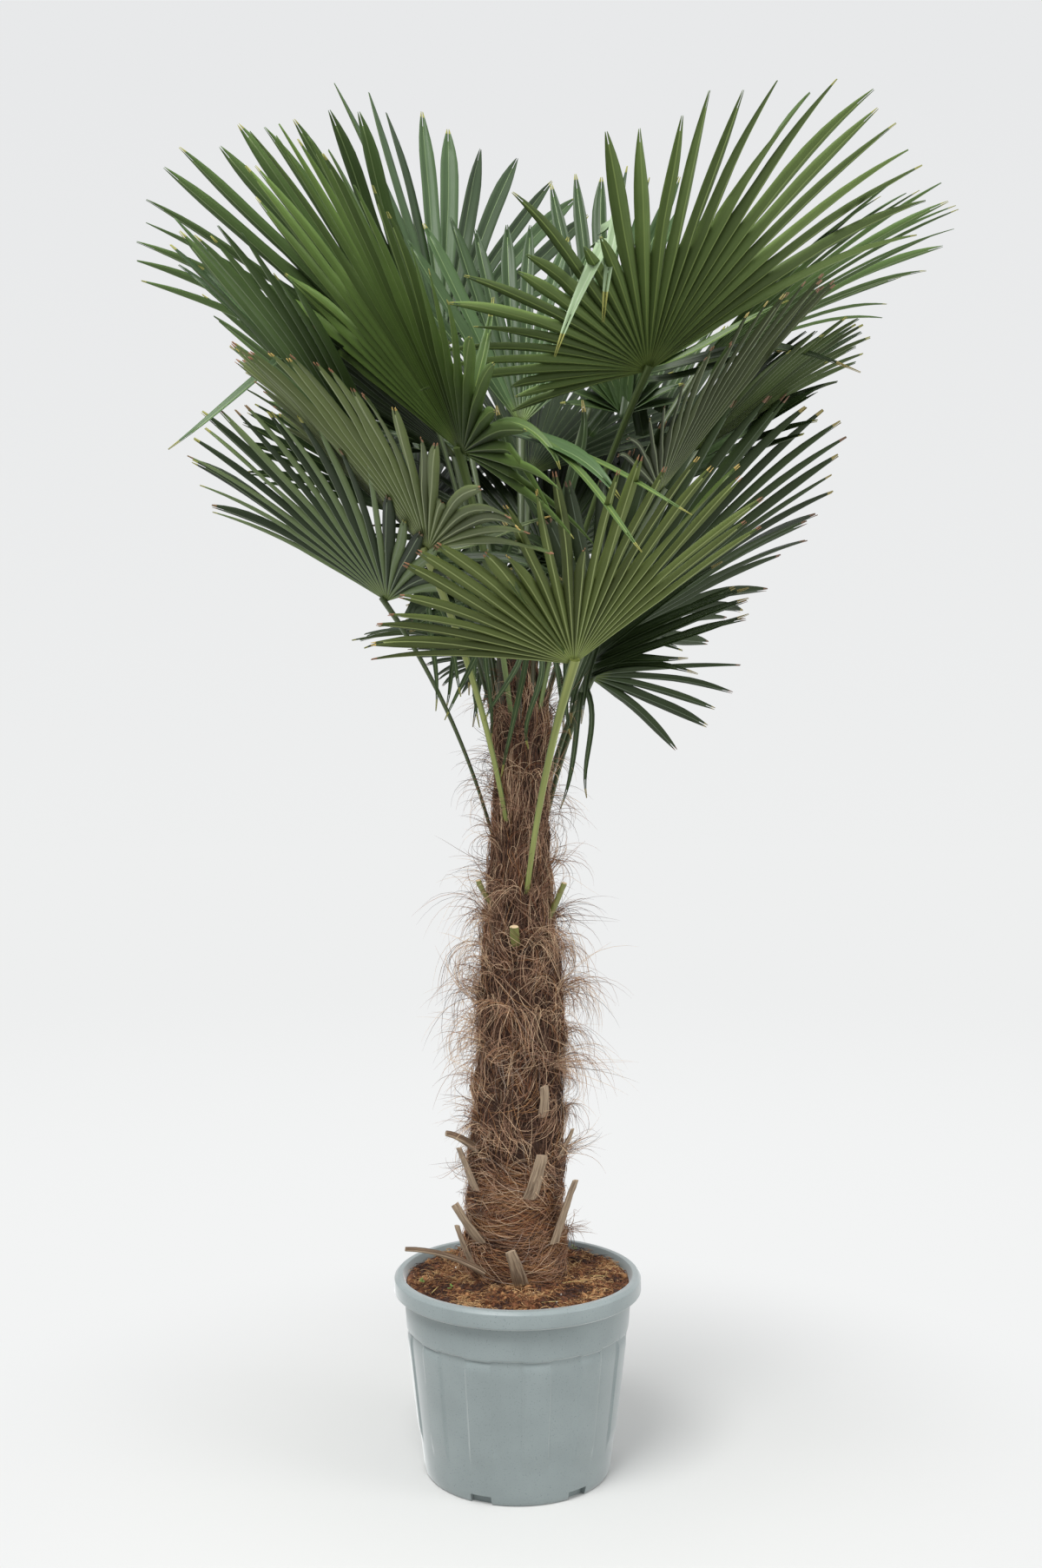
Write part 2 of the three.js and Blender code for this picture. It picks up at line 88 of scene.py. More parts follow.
def new_material(name, **inputs):
    """A material whose one shader is a Principled BSDF with these plain inputs."""
    made = bpy.data.materials.new(name)
    made.use_nodes = True
    tree = made.node_tree
    tree.nodes.clear()
    shader = add_node(tree, "BsdfPrincipled", inputs)
    output = add_node(tree, "OutputMaterial")
    tree.links.new(shader.outputs["BSDF"], output.inputs["Surface"])
    return made, tree, shader


def mix_colours(tree, factor, first, second):
    """The output of a node that mixes two colours by a factor."""
    made = add_node(tree, "Mix", {"Factor": factor}, data_type="RGBA")
    for socket, value in (("A", first), ("B", second)):
        slot = next(s for s in made.inputs if s.name == socket and s.type == "RGBA")
        if isinstance(value, bpy.types.NodeSocket):
            tree.links.new(value, slot)
        else:
            slot.default_value = value
    return next(s for s in made.outputs if s.type == "RGBA")


# %% [markdown]
# ## Finishing a piece
# Every piece ends the same way: its mesh becomes an object at the origin, gets its materials,
# rides on the plant's one body and stands for its solids. Leaves, bark and moulded plastic are all
# shaded smooth, with edges kept where they are sharp.


# %% The function that finishes a piece
def finish(name, mesh, materials, nodes=(), smooth_angle=None):
    """Puts a mesh in the scene as one piece of the plant."""
    for material in materials:
        mesh.materials.append(material)
    mesh.polygons.foreach_set("use_smooth", [True] * len(mesh.polygons))
    if smooth_angle is not None:
        mesh.set_sharp_from_angle(angle=math.radians(smooth_angle))
    piece = bpy.data.objects.new(name, mesh)
    SCENE.collection.objects.link(piece)
    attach(piece, "root")
    if nodes:
        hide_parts(*nodes)
    faces = sum(len(polygon.vertices) - 2 for polygon in mesh.polygons)
    print(f"{name}: {faces} triangles")
    return piece


def mesh_of(bm, name):
    """The mesh of a bmesh, which is then freed."""
    mesh = bpy.data.meshes.new(name)
    bm.to_mesh(mesh)
    bm.free()
    return mesh


def roll_tube(bm, around, along, place, grain=None):
    """A grid rolled into a tube: place(turn, share) gives the point of each corner, and
    grain(turn, share), where there is one, its place in the tube's own grain."""
    layer = bm.verts.layers.float_vector.get("grain") if grain else None
    made = bmesh.ops.create_grid(bm, x_segments=around, y_segments=along, size=0.5)["verts"]
    for vert in made:
        turn, share = (vert.co.x + 0.5) * math.tau, vert.co.y + 0.5
        vert.co = place(turn, share)
        if grain:
            vert[layer] = grain(turn, share)
    bmesh.ops.remove_doubles(bm, verts=made, dist=1e-6)
    return [vert for vert in made if vert.is_valid]


def close_ends(bm):
    """Caps every open rim and turns all faces outwards."""
    rims = [edge for edge in bm.edges if edge.is_boundary]
    bmesh.ops.holes_fill(bm, edges=rims, sides=0)
    bmesh.ops.recalc_face_normals(bm, faces=bm.faces)


# %% [markdown]
# ## The pot's plastic
# Nursery pots are injection moulded in polypropylene, here in a pale blue-green grey. Close up
# the colour is not even: recycled plastic carries fine dark specks under a dull satin skin. One
# noise gives a cloudy tone; a finer one gives the specks and also lifts the skin a little. A sheen
# stands for the fine dust that every outdoor pot wears.

# %% Moulded polypropylene
POT_COLOUR = "#858f8f"
POT_PALE = "#8c9696"
POT_SPECK = "#6f7a7b"
CLOUD_SIZE = 71.4 * MM
SPECK_SIZE = 2.4 * MM
SPECK_RELIEF = 0.4 * MM
POT_DUST = 0.85                       # fine dust, which shows most where the wall turns away


def moulded_polypropylene():
    """Injection-moulded polypropylene: a satin skin, softly cloudy, with fine specks and dust."""
    made, tree, shader = new_material("moulded_polypropylene", Roughness=0.42, IOR=1.49)
    shader.inputs["Sheen Weight"].default_value = POT_DUST
    shader.inputs["Sheen Roughness"].default_value = 0.35
    place = add_node(tree, "TexCoord").outputs["Object"]
    clouds = add_node(tree, "TexNoise", {"Vector": place, "Scale": 1 / CLOUD_SIZE, "Detail": 4.0})
    tone = add_node(tree, "MapRange",
                    {"Value": clouds.outputs["Fac"], "From Min": 0.35, "From Max": 0.68})
    body = mix_colours(tree, tone.outputs["Result"], linear(POT_COLOUR), linear(POT_PALE))
    grains = add_node(tree, "TexNoise", {"Vector": place, "Scale": 1 / SPECK_SIZE, "Detail": 2.0})
    specks = add_node(tree, "MapRange",
                      {"Value": grains.outputs["Fac"], "From Min": 0.62, "From Max": 0.74})
    speckled = mix_colours(tree, specks.outputs["Result"], body, linear(POT_SPECK))
    tree.links.new(speckled, shader.inputs["Base Color"])
    skin = add_node(tree, "Bump", {"Height": grains.outputs["Fac"],
                                   "Strength": 0.18, "Distance": SPECK_RELIEF})
    tree.links.new(skin.outputs["Normal"], shader.inputs["Normal"])
    return made


# %% [markdown]
# ## The pot
# A pot is a turned form, so its outline is drawn once and spun about the vertical. The outline
# has a foot, a tapering wall, a stepped collar and a heavy rolled rim. Long stretches get more
# points, because the wall then carries twelve shallow upright ribs, which are pushed out of it.

# %% The pot's outline
POT_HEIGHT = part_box("pot")[1][2]
RIM_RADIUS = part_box("pot")[1][0]
POT_FLOOR = 24 * MM                   # the floor is raised, so the foot can have drain notches
RIM_HEIGHT = 34 * MM
RIM_FOOT = POT_HEIGHT - RIM_HEIGHT
RIM_ROUND = 6 * MM
OUTER = [(0.171, 0.0), (0.174, 0.004), (0.176, 0.012), (0.1915, 0.141), (0.2036, 0.246),
         (0.2036, 0.268), (0.2095, 0.272), (0.2135, 0.330), (RIM_RADIUS - RIM_ROUND, RIM_FOOT),
         (RIM_RADIUS, RIM_FOOT + 0.004), (RIM_RADIUS, POT_HEIGHT - RIM_ROUND),
         (RIM_RADIUS - RIM_ROUND, POT_HEIGHT)]
INNER = [(0.2165, POT_HEIGHT), (0.2105, POT_HEIGHT - 0.014), (0.2105, 0.330), (0.2065, 0.272),
         (0.2006, 0.268), (0.1885, 0.141), (0.1745, POT_FLOOR + 0.002), (0.172, POT_FLOOR)]
OUTLINE_STEP = 12 * MM


def filled_outline(points, step):
    """The outline with long stretches cut into steps."""
    result = [points[0]]
    for first, second in zip(points, points[1:]):
        pieces = max(1, round(math.dist(first, second) / step))
        for k in range(1, pieces + 1):
            share = k / pieces
            result.append(tuple(a + (b - a) * share for a, b in zip(first, second)))
    return result


print(f"pot: {2 * RIM_RADIUS:.3f} m across, {POT_HEIGHT:.3f} m high")

# %% [markdown]
# The spin gives a smooth turned pot. Its sharp rings are rounded with one bevel, because moulded
# plastic has no sharp edges and a round one catches a line of light. The ribs are then raised by
# moving the wall's own points outwards, which keeps them as soft as in the mould, and the ledge
# over each rib dips with it.

# %% Spin the pot, round its edges and raise its ribs
SPIN_STEPS = 480
SHARP_RING = math.radians(14)         # rings that turn more than this get a round edge
RING_ROUND = 1.3 * MM
RIB_COUNT = 12
RIB_FIRST = math.radians(10)          # from the front towards the right
RIB_HALF = math.radians(7)
RIB_EDGE = math.radians(0.75)
RIB_RELIEF = 3.6 * MM
RIB_FOOT = (0.062, 0.092)             # heights between which a rib fades in
RIB_HEAD = (0.262, 0.268)             # and between which it fades out
LEDGE_DIP = 2.5 * MM
LEDGE_FOOT = (0.264, 0.267)
LEDGE_HEAD = (0.276, 0.282)
OUTSIDE = (0.1695, 0.115)             # radius at the floor and slope of a cone inside the wall


def smooth_step(low, high, value):
    """A share that eases from 0 at low to 1 at high."""
    share = min(max((value - low) / (high - low), 0.0), 1.0)
    return share * share * (3 - 2 * share)


def rib_share(co):
    """How much of a rib there is at a point of the wall, from 0 to 1."""
    turn = math.atan2(co.x, -co.y) - RIB_FIRST
    pitch = math.tau / RIB_COUNT
    off_middle = abs((turn + pitch / 2) % pitch - pitch / 2)
    return 1 - smooth_step(RIB_HALF - RIB_EDGE, RIB_HALF + RIB_EDGE, off_middle)


def raise_rib(vert):
    """Moves a point of the wall out by as much of a rib as there is at it."""
    radius = math.hypot(vert.co.x, vert.co.y)
    outside = radius > OUTSIDE[0] + vert.co.z * OUTSIDE[1]
    if not outside or vert.co.z > LEDGE_HEAD[1]:
        return
    share = rib_share(vert.co)
    relief = RIB_RELIEF * share * smooth_step(*RIB_FOOT, vert.co.z)
    relief *= 1 - smooth_step(*RIB_HEAD, vert.co.z)
    vert.co.x *= 1 + relief / radius
    vert.co.y *= 1 + relief / radius
    near_ledge = smooth_step(*LEDGE_FOOT, vert.co.z) * (1 - smooth_step(*LEDGE_HEAD, vert.co.z))
    vert.co.z -= LEDGE_DIP * share * near_ledge


def pot_mesh():
    """The pot's wall, collar, rim and floor as one closed shell with ribs."""
    bm = bmesh.new()
    outline = [(0.0, 0.0), *filled_outline(OUTER, OUTLINE_STEP),
               *filled_outline(INNER, OUTLINE_STEP * 2), (0.0, POT_FLOOR)]
    verts = [bm.verts.new((0, -radius, height)) for radius, height in outline]
    edges = [bm.edges.new(pair) for pair in zip(verts, verts[1:])]
    bmesh.ops.spin(bm, geom=verts + edges, cent=(0, 0, 0), axis=(0, 0, 1), angle=math.tau,
                   steps=SPIN_STEPS, use_merge=True)
    bmesh.ops.remove_doubles(bm, verts=bm.verts, dist=1e-6)
    bmesh.ops.recalc_face_normals(bm, faces=bm.faces)
    rings = [edge for edge in bm.edges
             if abs(edge.verts[0].co.z - edge.verts[1].co.z) < 1e-7 and len(edge.link_faces) == 2
             and edge.calc_face_angle() > SHARP_RING]
    bmesh.ops.bevel(bm, geom=rings, offset=RING_ROUND, offset_type="OFFSET", segments=3, profile=0.5,
                    affect="EDGES", material=-1, clamp_overlap=True)
    for vert in bm.verts:
        raise_rib(vert)
    return mesh_of(bm, "pot")


# %% [markdown]
# The six drainage notches in the foot are cut with one boolean: a row of small blocks is made,
# taken away from the pot and removed again.

# %% Cut the notches and finish the pot
NOTCH_COUNT = 6
NOTCH_FIRST = math.radians(-112)
NOTCH_SIZE = (0.026, 0.040, 0.032)
NOTCH_DISTANCE = 0.176                # from the pot's middle


def notched(mesh):
    """The mesh with the drainage notches cut out of its foot."""
    bm = bmesh.new()
    for k in range(NOTCH_COUNT):
        turn = NOTCH_FIRST + k * math.tau / NOTCH_COUNT
        made = bmesh.ops.create_cube(bm, size=1.0)["verts"]
        bmesh.ops.scale(bm, verts=made, vec=NOTCH_SIZE)
        bmesh.ops.translate(bm, verts=made, vec=(NOTCH_DISTANCE, 0, 0))
        bmesh.ops.rotate(bm, verts=made, cent=(0, 0, 0), matrix=Quaternion(UP, turn).to_matrix())
    cutter = bpy.data.objects.new("notch_cutter", mesh_of(bm, "notch_cutter"))
    whole = bpy.data.objects.new("whole_pot", mesh)
    for helper in (cutter, whole):
        SCENE.collection.objects.link(helper)
    cut = whole.modifiers.new("notches", "BOOLEAN")
    cut.operation = "DIFFERENCE"
    cut.solver = "EXACT"
    cut.object = cutter
    evaluated = whole.evaluated_get(bpy.context.evaluated_depsgraph_get())
    result = bpy.data.meshes.new_from_object(evaluated)
    for helper in (cutter, whole):
        bpy.data.objects.remove(helper)
    return result


plastic = moulded_polypropylene()
finish("pot", notched(pot_mesh()), [plastic], ["pot"], smooth_angle=35)

# %% [markdown]
# ## Potting soil
# The pot is filled with coir and bark: a red-brown crumbly ground, a tangle of golden coir
# fibres, a few grains of white perlite and some sprigs of weed. Its crumbs and fibres are real
# geometry, since a bump alone looks flat at this low angle. Soil, matted fibre and stalks are all
# two tones of one colour, broken up by a noise, so one function makes such a material from its
# two tones and the real size of its lumps, hairs or cracks.


# %% Natural materials
def two_toned(name, dark, light, cell, detail, fade, roughness, relief=0.0, strength=0.0, grain=False):
    """A material in two tones, mixed by a noise whose cells have a real size in three directions,
    on the object or on a piece's own grain; relief is the height of a bump from the same noise."""
    made, tree, shader = new_material(name, Roughness=roughness)
    if grain:
        place = add_node(tree, "Attribute", attribute_name="grain").outputs["Vector"]
    else:
        place = add_node(tree, "TexCoord").outputs["Object"]
    scaled = add_node(tree, "Mapping", {"Vector": place, "Scale": [1 / size for size in cell]})
    cells = add_node(tree, "TexNoise",
                     {"Vector": scaled.outputs["Vector"], "Scale": 1.0, "Detail": detail})
    tone = add_node(tree, "MapRange",
                    {"Value": cells.outputs["Fac"], "From Min": fade[0], "From Max": fade[1]})
    colour = mix_colours(tree, tone.outputs["Result"], linear(dark), linear(light))
    tree.links.new(colour, shader.inputs["Base Color"])
    if relief:
        bump = add_node(tree, "Bump", {"Height": cells.outputs["Fac"],
                                       "Strength": strength, "Distance": relief})
        tree.links.new(bump.outputs["Normal"], shader.inputs["Normal"])
    return made


def plain(name, hex_colour, roughness=0.8):
    """A small thing's material: one even colour, because it is too small to show a pattern."""
    return new_material(name, **{"Base Color": linear(hex_colour), "Roughness": roughness})[0]


# Damp coir is fully matt and red brown, with lumps in every size down to dust.
crumbly_coir = two_toned("crumbly_coir", "#361e12", "#875738", cell=(14.3 * MM,) * 3, detail=6.0,
                         fade=(0.38, 0.66), roughness=0.95, relief=3 * MM, strength=0.9)
print(crumbly_coir.name)

# %% [markdown]
# The soil lies a little below the rim and rises to the trunk. It could be a flat disc, but a
# watered pot is never flat, so a rolled grid is laid over heaps and hollows that two noises give.
# They die out at the edge, where the soil meets the plastic.

# %% The ground
SOIL_EDGE = 0.2098
SOIL_BOTTOM = 0.300
SOIL_SKIRT = 0.12                     # share of the outline spent on underside and skirt
SOIL_PROFILE = ((0, 0.118, 0.150, 0.2101), (0.3655, 0.3655, 0.3605, 0.3515))   # radius, height
SOIL_CALM = 12 * MM                   # the ring at the edge in which the waves die out
HEAPS = ((30, 8 * MM), (95, 5 * MM))  # heaps and hollows: waves a metre, and their height


def level_way(turn):
    """The level direction at an angle from +X towards +Y."""
    return Vector((math.cos(turn), math.sin(turn), 0))


def soil_height(radius):
    """Height of the mounded soil at a distance from the middle, for a number or an array."""
    return np.interp(radius, *SOIL_PROFILE)


def soil_waves(spot):
    """Heaps and hollows of the soil at a level spot."""
    return sum(noise.noise(spot * waves) * height for waves, height in HEAPS)


def ground_mesh():
    """The soil as a closed disc: a flat underside, a short skirt and the wavy top."""
    def place(turn, share):
        if share < SOIL_SKIRT:
            radius = SOIL_EDGE * min(share / SOIL_SKIRT * 2, 1.0)
            height = SOIL_BOTTOM
        else:
            radius = SOIL_EDGE * (1 - (share - SOIL_SKIRT) / (1 - SOIL_SKIRT))
            calm = smooth_step(SOIL_EDGE, SOIL_EDGE - SOIL_CALM, radius) if radius < SOIL_EDGE else 0.0
            height = soil_height(radius) + soil_waves(level_way(turn) * radius) * calm
        return level_way(turn) * radius + UP * height

    bm = bmesh.new()
    roll_tube(bm, 180, 90, place)
    close_ends(bm)
    return mesh_of(bm, "soil")


finish("soil", ground_mesh(), [crumbly_coir], ["soil"])

# %% [markdown]
# ## Many small things
# Thousands of fibres are too many to model one by one. Each is a thin three-sided spindle along
# a path, and all the paths are arrays, so one function turns any number of them into a single
# closed mesh. Crumbs work the same way from one twenty-sided grain.


# %% Strands and grains from arrays
STRAND_TAPER = ((0, 0.1, 0.6, 1), (0.4, 1.0, 0.85, 0.15))      # share of its length, of its radius


def unit(vectors):
    """Vectors of length 1, for an array of them."""
    return vectors / (np.linalg.norm(vectors, axis=-1, keepdims=True) + 1e-12)


def strand_mesh(name, paths, radii, tones):
    """Tapering strands along paths[strand, step, xyz], with a radius and a tone for each."""
    count, steps = paths.shape[:2]
    along = unit(np.gradient(paths, axis=1))
    upright = np.abs(along[..., 2:]) > 0.9
    side = unit(np.cross(along, np.where(upright, (1.0, 0.0, 0.0), (0.0, 0.0, 1.0))))
    lift = np.cross(along, side)
    taper = np.interp(np.linspace(0, 1, steps), *STRAND_TAPER)
    reach = (radii[:, None] * taper)[..., None, None]
    corners = np.radians((0, 120, 240))[:, None]
    ring = side[:, :, None] * np.cos(corners) + lift[:, :, None] * np.sin(corners)
    verts = (paths[:, :, None] + ring * reach).reshape(-1, 3)
    index = np.arange(count * steps * 3).reshape(count, steps, 3)
    near, far = index[:, :-1], index[:, 1:]
    quads = np.stack([near, np.roll(near, -1, 2), np.roll(far, -1, 2), far], -1).reshape(-1, 4)
    ends = np.concatenate([index[:, 0, ::-1], index[:, -1]])
    mesh = bpy.data.meshes.new(name)
    mesh.from_pydata(verts.tolist(), [], quads.tolist() + ends.tolist())
    by_face = np.concatenate([np.repeat(tones, (steps - 1) * 3), tones, tones])
    mesh.polygons.foreach_set("material_index", by_face.astype(np.int32))
    return mesh


def grain_mesh(name, centres, sizes, rng):
    """Irregular grains: one icosphere, stretched and turned at random for each centre."""
    bm = bmesh.new()
    bmesh.ops.create_icosphere(bm, subdivisions=1, radius=1.0)
    bm.verts.ensure_lookup_table()
    corners = np.array([vert.co[:] for vert in bm.verts])
    faces = np.array([[vert.index for vert in face.verts] for face in bm.faces])
    bm.free()
    count = len(centres)
    stretch = rng.uniform(0.6, 1.3, (count, 1, 3)) * sizes[:, None, None]
    bumps = rng.uniform(0.75, 1.2, (count, len(corners), 1))
    turn = rng.uniform(0, math.tau, count)
    shaped = corners[None] * stretch * bumps
    x = shaped[..., 0] * np.cos(turn)[:, None] - shaped[..., 1] * np.sin(turn)[:, None]
    y = shaped[..., 0] * np.sin(turn)[:, None] + shaped[..., 1] * np.cos(turn)[:, None]
    verts = np.stack([x, y, shaped[..., 2]], -1) + centres[:, None]
    all_faces = faces[None] + (np.arange(count) * len(corners))[:, None, None]
    mesh = bpy.data.meshes.new(name)
    mesh.from_pydata(verts.reshape(-1, 3).tolist(), [], all_faces.reshape(-1, 3).tolist())
    return mesh


# %% [markdown]
# The fibres and crumbs are dealt out over the open ring of soil by a seeded generator, so they
# fall the same way each time. Real potting soil is patchy, so a slow noise makes the fibres and
# crumbs of one patch alike in tone.

# %% Spots, tones and fibres on the soil
SOIL_INSIDE = 0.085                   # radius of the ground that the trunk covers
PATCHES = 26                          # patches of one tone, a metre
TONE_LEVEL = 0.47                     # the middle tone, from 0 for dark to 1 for light,
TONE_PATCHES = 1.15                   # and how far patches
TONE_SCATTER = 0.2                    # and single fibres go from it
FIBRE_LENGTHS = (10 * MM, 42 * MM)


def soil_spots(rng, count, margin):
    """Random spots on the open ring of soil, with the ground's height there."""
    radius = np.sqrt(rng.uniform(SOIL_INSIDE ** 2, (SOIL_EDGE - margin) ** 2, count))
    turn = rng.uniform(0, math.tau, count)
    spots = np.stack([radius * np.cos(turn), radius * np.sin(turn), soil_height(radius)], -1)
    waves = [soil_waves(Vector((x, y, 0))) for x, y, _ in spots]
    calm = np.clip((SOIL_EDGE - radius) / SOIL_CALM, 0, 1)
    spots[:, 2] += np.array(waves) * calm
    return spots


def patchy_tones(rng, spots, count):
    """A tone from 0 to count - 1 for each spot: neighbours are alike, so the soil is patchy."""
    patches = np.array([noise.noise(Vector((x, y, 7.0)) * PATCHES) for x, y, _ in spots])
    level = TONE_LEVEL + patches * TONE_PATCHES + rng.normal(0, TONE_SCATTER, len(spots))
    return np.clip((level * count).astype(int), 0, count - 1)


def soil_fibres(rng, spots, steps=6):
    """Short curled fibres that lie on the soil."""
    count = len(spots)
    t = np.linspace(-0.5, 0.5, steps)[None]
    size = rng.uniform(*FIBRE_LENGTHS, (count, 1))
    heading = rng.uniform(0, math.tau, (count, 1)) + rng.normal(0, 1.6, (count, 1)) * t
    x = np.cumsum(np.cos(heading) * size / steps, axis=1)
    y = np.cumsum(np.sin(heading) * size / steps, axis=1)
    arching = rng.uniform(0, 6 * MM, (count, 1)) * np.cos(math.pi * t)
    z = arching + rng.uniform(-1 * MM, 4 * MM, (count, 1))
    paths = spots[:, None] + np.stack([x, y, z], -1)
    reach = np.linalg.norm(paths[..., :2], axis=-1, keepdims=True)
    paths[..., :2] *= np.minimum(1, (SOIL_EDGE - 2 * MM) / reach)
    return paths


# %% [markdown]
# Three pieces lie on the ground: coir fibres, crumbs of coir and bark, and a few white grains of
# perlite, the puffed glass that keeps potting soil airy. Margins keep them off the wall.

# %% Fibres, crumbs and perlite
FIBRE_COUNT = 4600
CRUMB_COUNT = 1300
PERLITE_COUNT = 16
CRUMB_FACES = 20                      # of the grain that each crumb is made from
COIR_TONES = [plain("coir_dark", "#3a2115"), plain("coir_red", "#734628"),
              plain("coir_gold", "#a0744a"), plain("coir_straw", "#c9a474")]

rng = np.random.default_rng(11)
spots = soil_spots(rng, FIBRE_COUNT, margin=12 * MM)
paths = soil_fibres(rng, spots)
radii = rng.uniform(0.35, 0.85, FIBRE_COUNT) * MM
fibres = strand_mesh("soil_fibres", paths, radii, patchy_tones(rng, spots, len(COIR_TONES)))
finish("soil_fibres", fibres, COIR_TONES)
spots = soil_spots(rng, CRUMB_COUNT, margin=8 * MM)
crumbs = grain_mesh("soil_crumbs", spots, rng.uniform(1.5, 6.0, CRUMB_COUNT) * MM, rng)
tones = np.repeat(patchy_tones(rng, spots, 3), CRUMB_FACES)
crumbs.polygons.foreach_set("material_index", tones.astype(np.int32))
finish("soil_crumbs", crumbs, COIR_TONES[:3])
spots = soil_spots(rng, PERLITE_COUNT, margin=10 * MM) + (0, 0, 3 * MM)
perlite = grain_mesh("perlite", spots, rng.uniform(0.9, 2.2, PERLITE_COUNT) * MM, rng)
finish("perlite", perlite, [plain("expanded_perlite", "#e9e5dc", 0.9)])

# %% [markdown]
# A few things lie or grow on the soil: straws of dry grass and three tiny weeds. The straws are
# strands like the fibres, only longer and straight. Each weed leaf is a small oval of one face,
# thickened by a Solidify modifier like the palm's leaves, and stands in a spiral round its stem.

# %% Straws and weeds
# middle, length, heading in degrees
STRAWS = [((0.105, -0.075), 0.060, 8), ((0.150, -0.030), 0.045, -20), ((-0.150, -0.095), 0.040, 70),
          ((0.020, 0.150), 0.055, 15), ((-0.120, 0.110), 0.050, -40), ((0.060, -0.165), 0.035, 4)]
STRAW_RADIUS = 1.1 * MM
STRAW_RISE = 0.06                     # how much a straw rises along its length
STRAW_LIFT = 6 * MM
WEEDS = [(-0.178, -0.060), (-0.122, -0.105), (0.110, 0.140)]
WEED_LEAVES = 7
WEED_LEAF = 2.6 * MM                  # half the length of a leaf
WEED_SPIRAL = 2.4                     # radians from one leaf to the next, about the golden angle
WEED_LIFT = 5 * MM


def straw_paths():
    """The middle lines of the straws, as an array."""
    paths = []
    for (x, y), length, heading in STRAWS:
        way = np.array(level_way(math.radians(heading)) + UP * STRAW_RISE)
        base = np.array((x, y, soil_height(math.hypot(x, y)) + STRAW_LIFT))
        paths.append([base + way * length * t for t in np.linspace(-0.5, 0.5, 4)])
    return np.array(paths)


def weed_mesh():
    """The leaves of all the weeds as flat ovals."""
    bm = bmesh.new()
    for x, y in WEEDS:
        draw = random.Random(f"weed {x}")
        for k in range(WEED_LEAVES):
            made = bmesh.ops.create_circle(bm, cap_ends=True, segments=8, radius=WEED_LEAF)["verts"]
            bmesh.ops.scale(bm, verts=made, vec=(1.0, 0.6, 1.0))
            out, up = draw.uniform(3, 6) * MM, draw.uniform(3, 10) * MM
            bmesh.ops.translate(bm, verts=made, vec=(out, 0, up))
            turn = Quaternion(UP, k * WEED_SPIRAL) @ Quaternion((0, 1, 0), draw.uniform(-0.7, 0.2))
            bmesh.ops.rotate(bm, verts=made, cent=(0, 0, 0), matrix=turn.to_matrix())
            height = soil_height(math.hypot(x, y)) + WEED_LIFT
            bmesh.ops.translate(bm, verts=made, vec=(x, y, height))
    return mesh_of(bm, "weeds")


radii = np.full(len(STRAWS), STRAW_RADIUS)
straws = strand_mesh("straws", straw_paths(), radii, np.zeros(len(STRAWS), int))
finish("straws", straws, [plain("dry_grass", "#b9a468", 0.6)])
weeds = finish("weeds", weed_mesh(), [plain("weed_leaf", "#6f9a3d", 0.5)])
weed_sheet = weeds.modifiers.new("leaf thickness", "SOLIDIFY")
weed_sheet.thickness = 0.4 * MM

# %% [markdown]
# ## The trunk
# A windmill palm's trunk is a slim stem under a thick mat of dark brown fibre, left by the
# sheaths of old leaves. Low down the mat is old, rusty and wound round the stem. Higher up it
# is loose and shaggy, and under the crown the fibres still stand upright. A tube with the true
# taper and the stepped rings of old leaf bases carries it, and the mat is laid on in strands.

# %% The stem's taper, lean and relief
# height, radius, lean to the right
TRUNK_RINGS = np.array([
    (0.366, 0.112, -0.006), (0.390, 0.107, -0.006), (0.470, 0.101, -0.005), (0.555, 0.099, -0.003),
    (0.633, 0.095, 0.000), (0.715, 0.091, 0.003), (0.797, 0.087, 0.006), (0.880, 0.082, 0.006),
    (0.962, 0.076, 0.004), (1.045, 0.069, 0.003), (1.126, 0.064, 0.003), (1.210, 0.061, 0.005),
    (1.290, 0.059, 0.007), (1.400, 0.055, 0.008), (1.490, 0.042, 0.008), (1.540, 0.024, 0.008)])
TRUNK_FOOT = 0.3663
STEM_TOP = 1.540
LUMP_DEPTH = 2.8 * MM
LUMPS_AROUND = 5
LUMP_PITCH = 0.130
TIER_PITCH = 0.075                    # height from one ring of old leaf bases to the next
TIER_DEPTH = 5 * MM
TIERS_END = 1.35                      # height at which the rings have faded out
TIERS_FADE = 0.2
MAT_DEPTH = 11 * MM                   # how far the mat's arching strands stand off its base
SWELLS = ((0.93, 0.10, 6 * MM), (1.40, 0.07, 7 * MM))     # height, reach and depth of shaggy parts
SKIN = 4 * MM                         # how deep the stem lies under the base of the mat


def trunk_axis(height):
    """Radius and lean of the trunk at a height, for numbers or arrays."""
    return (np.interp(height, TRUNK_RINGS[:, 0], TRUNK_RINGS[:, 1]),
            np.interp(height, TRUNK_RINGS[:, 0], TRUNK_RINGS[:, 2]))


def tier_phase(turn, height):
    """Where a point lies on its leaf base, from 0 at its foot to 1 at its lip."""
    return (height / TIER_PITCH + turn / math.pi) % 1.0


def on_trunk(turn, height, lift):
    """Points on the trunk's mat, for arrays of angle, height and height above the mat."""
    radius, lean = trunk_axis(height)
    lumps = LUMP_DEPTH * np.sin(LUMPS_AROUND * turn + height / LUMP_PITCH * math.tau)
    radius = radius - MAT_DEPTH
    for middle, reach, depth in SWELLS:
        radius = radius + depth * np.exp(-((height - middle) / reach) ** 2)
    fading = np.clip((TIERS_END - height) / TIERS_FADE, 0, 1)
    tiers = TIER_DEPTH * (tier_phase(turn, height) - 0.5) * fading
    reach = np.maximum(radius + lumps + tiers + lift, 1 * MM)
    return np.stack([lean + reach * np.cos(turn), reach * np.sin(turn), height + 0 * turn], -1)


for height in (0.4, 0.9, 1.4):
    print(f"trunk at {height} m: radius {trunk_axis(height)[0]:.3f} m")
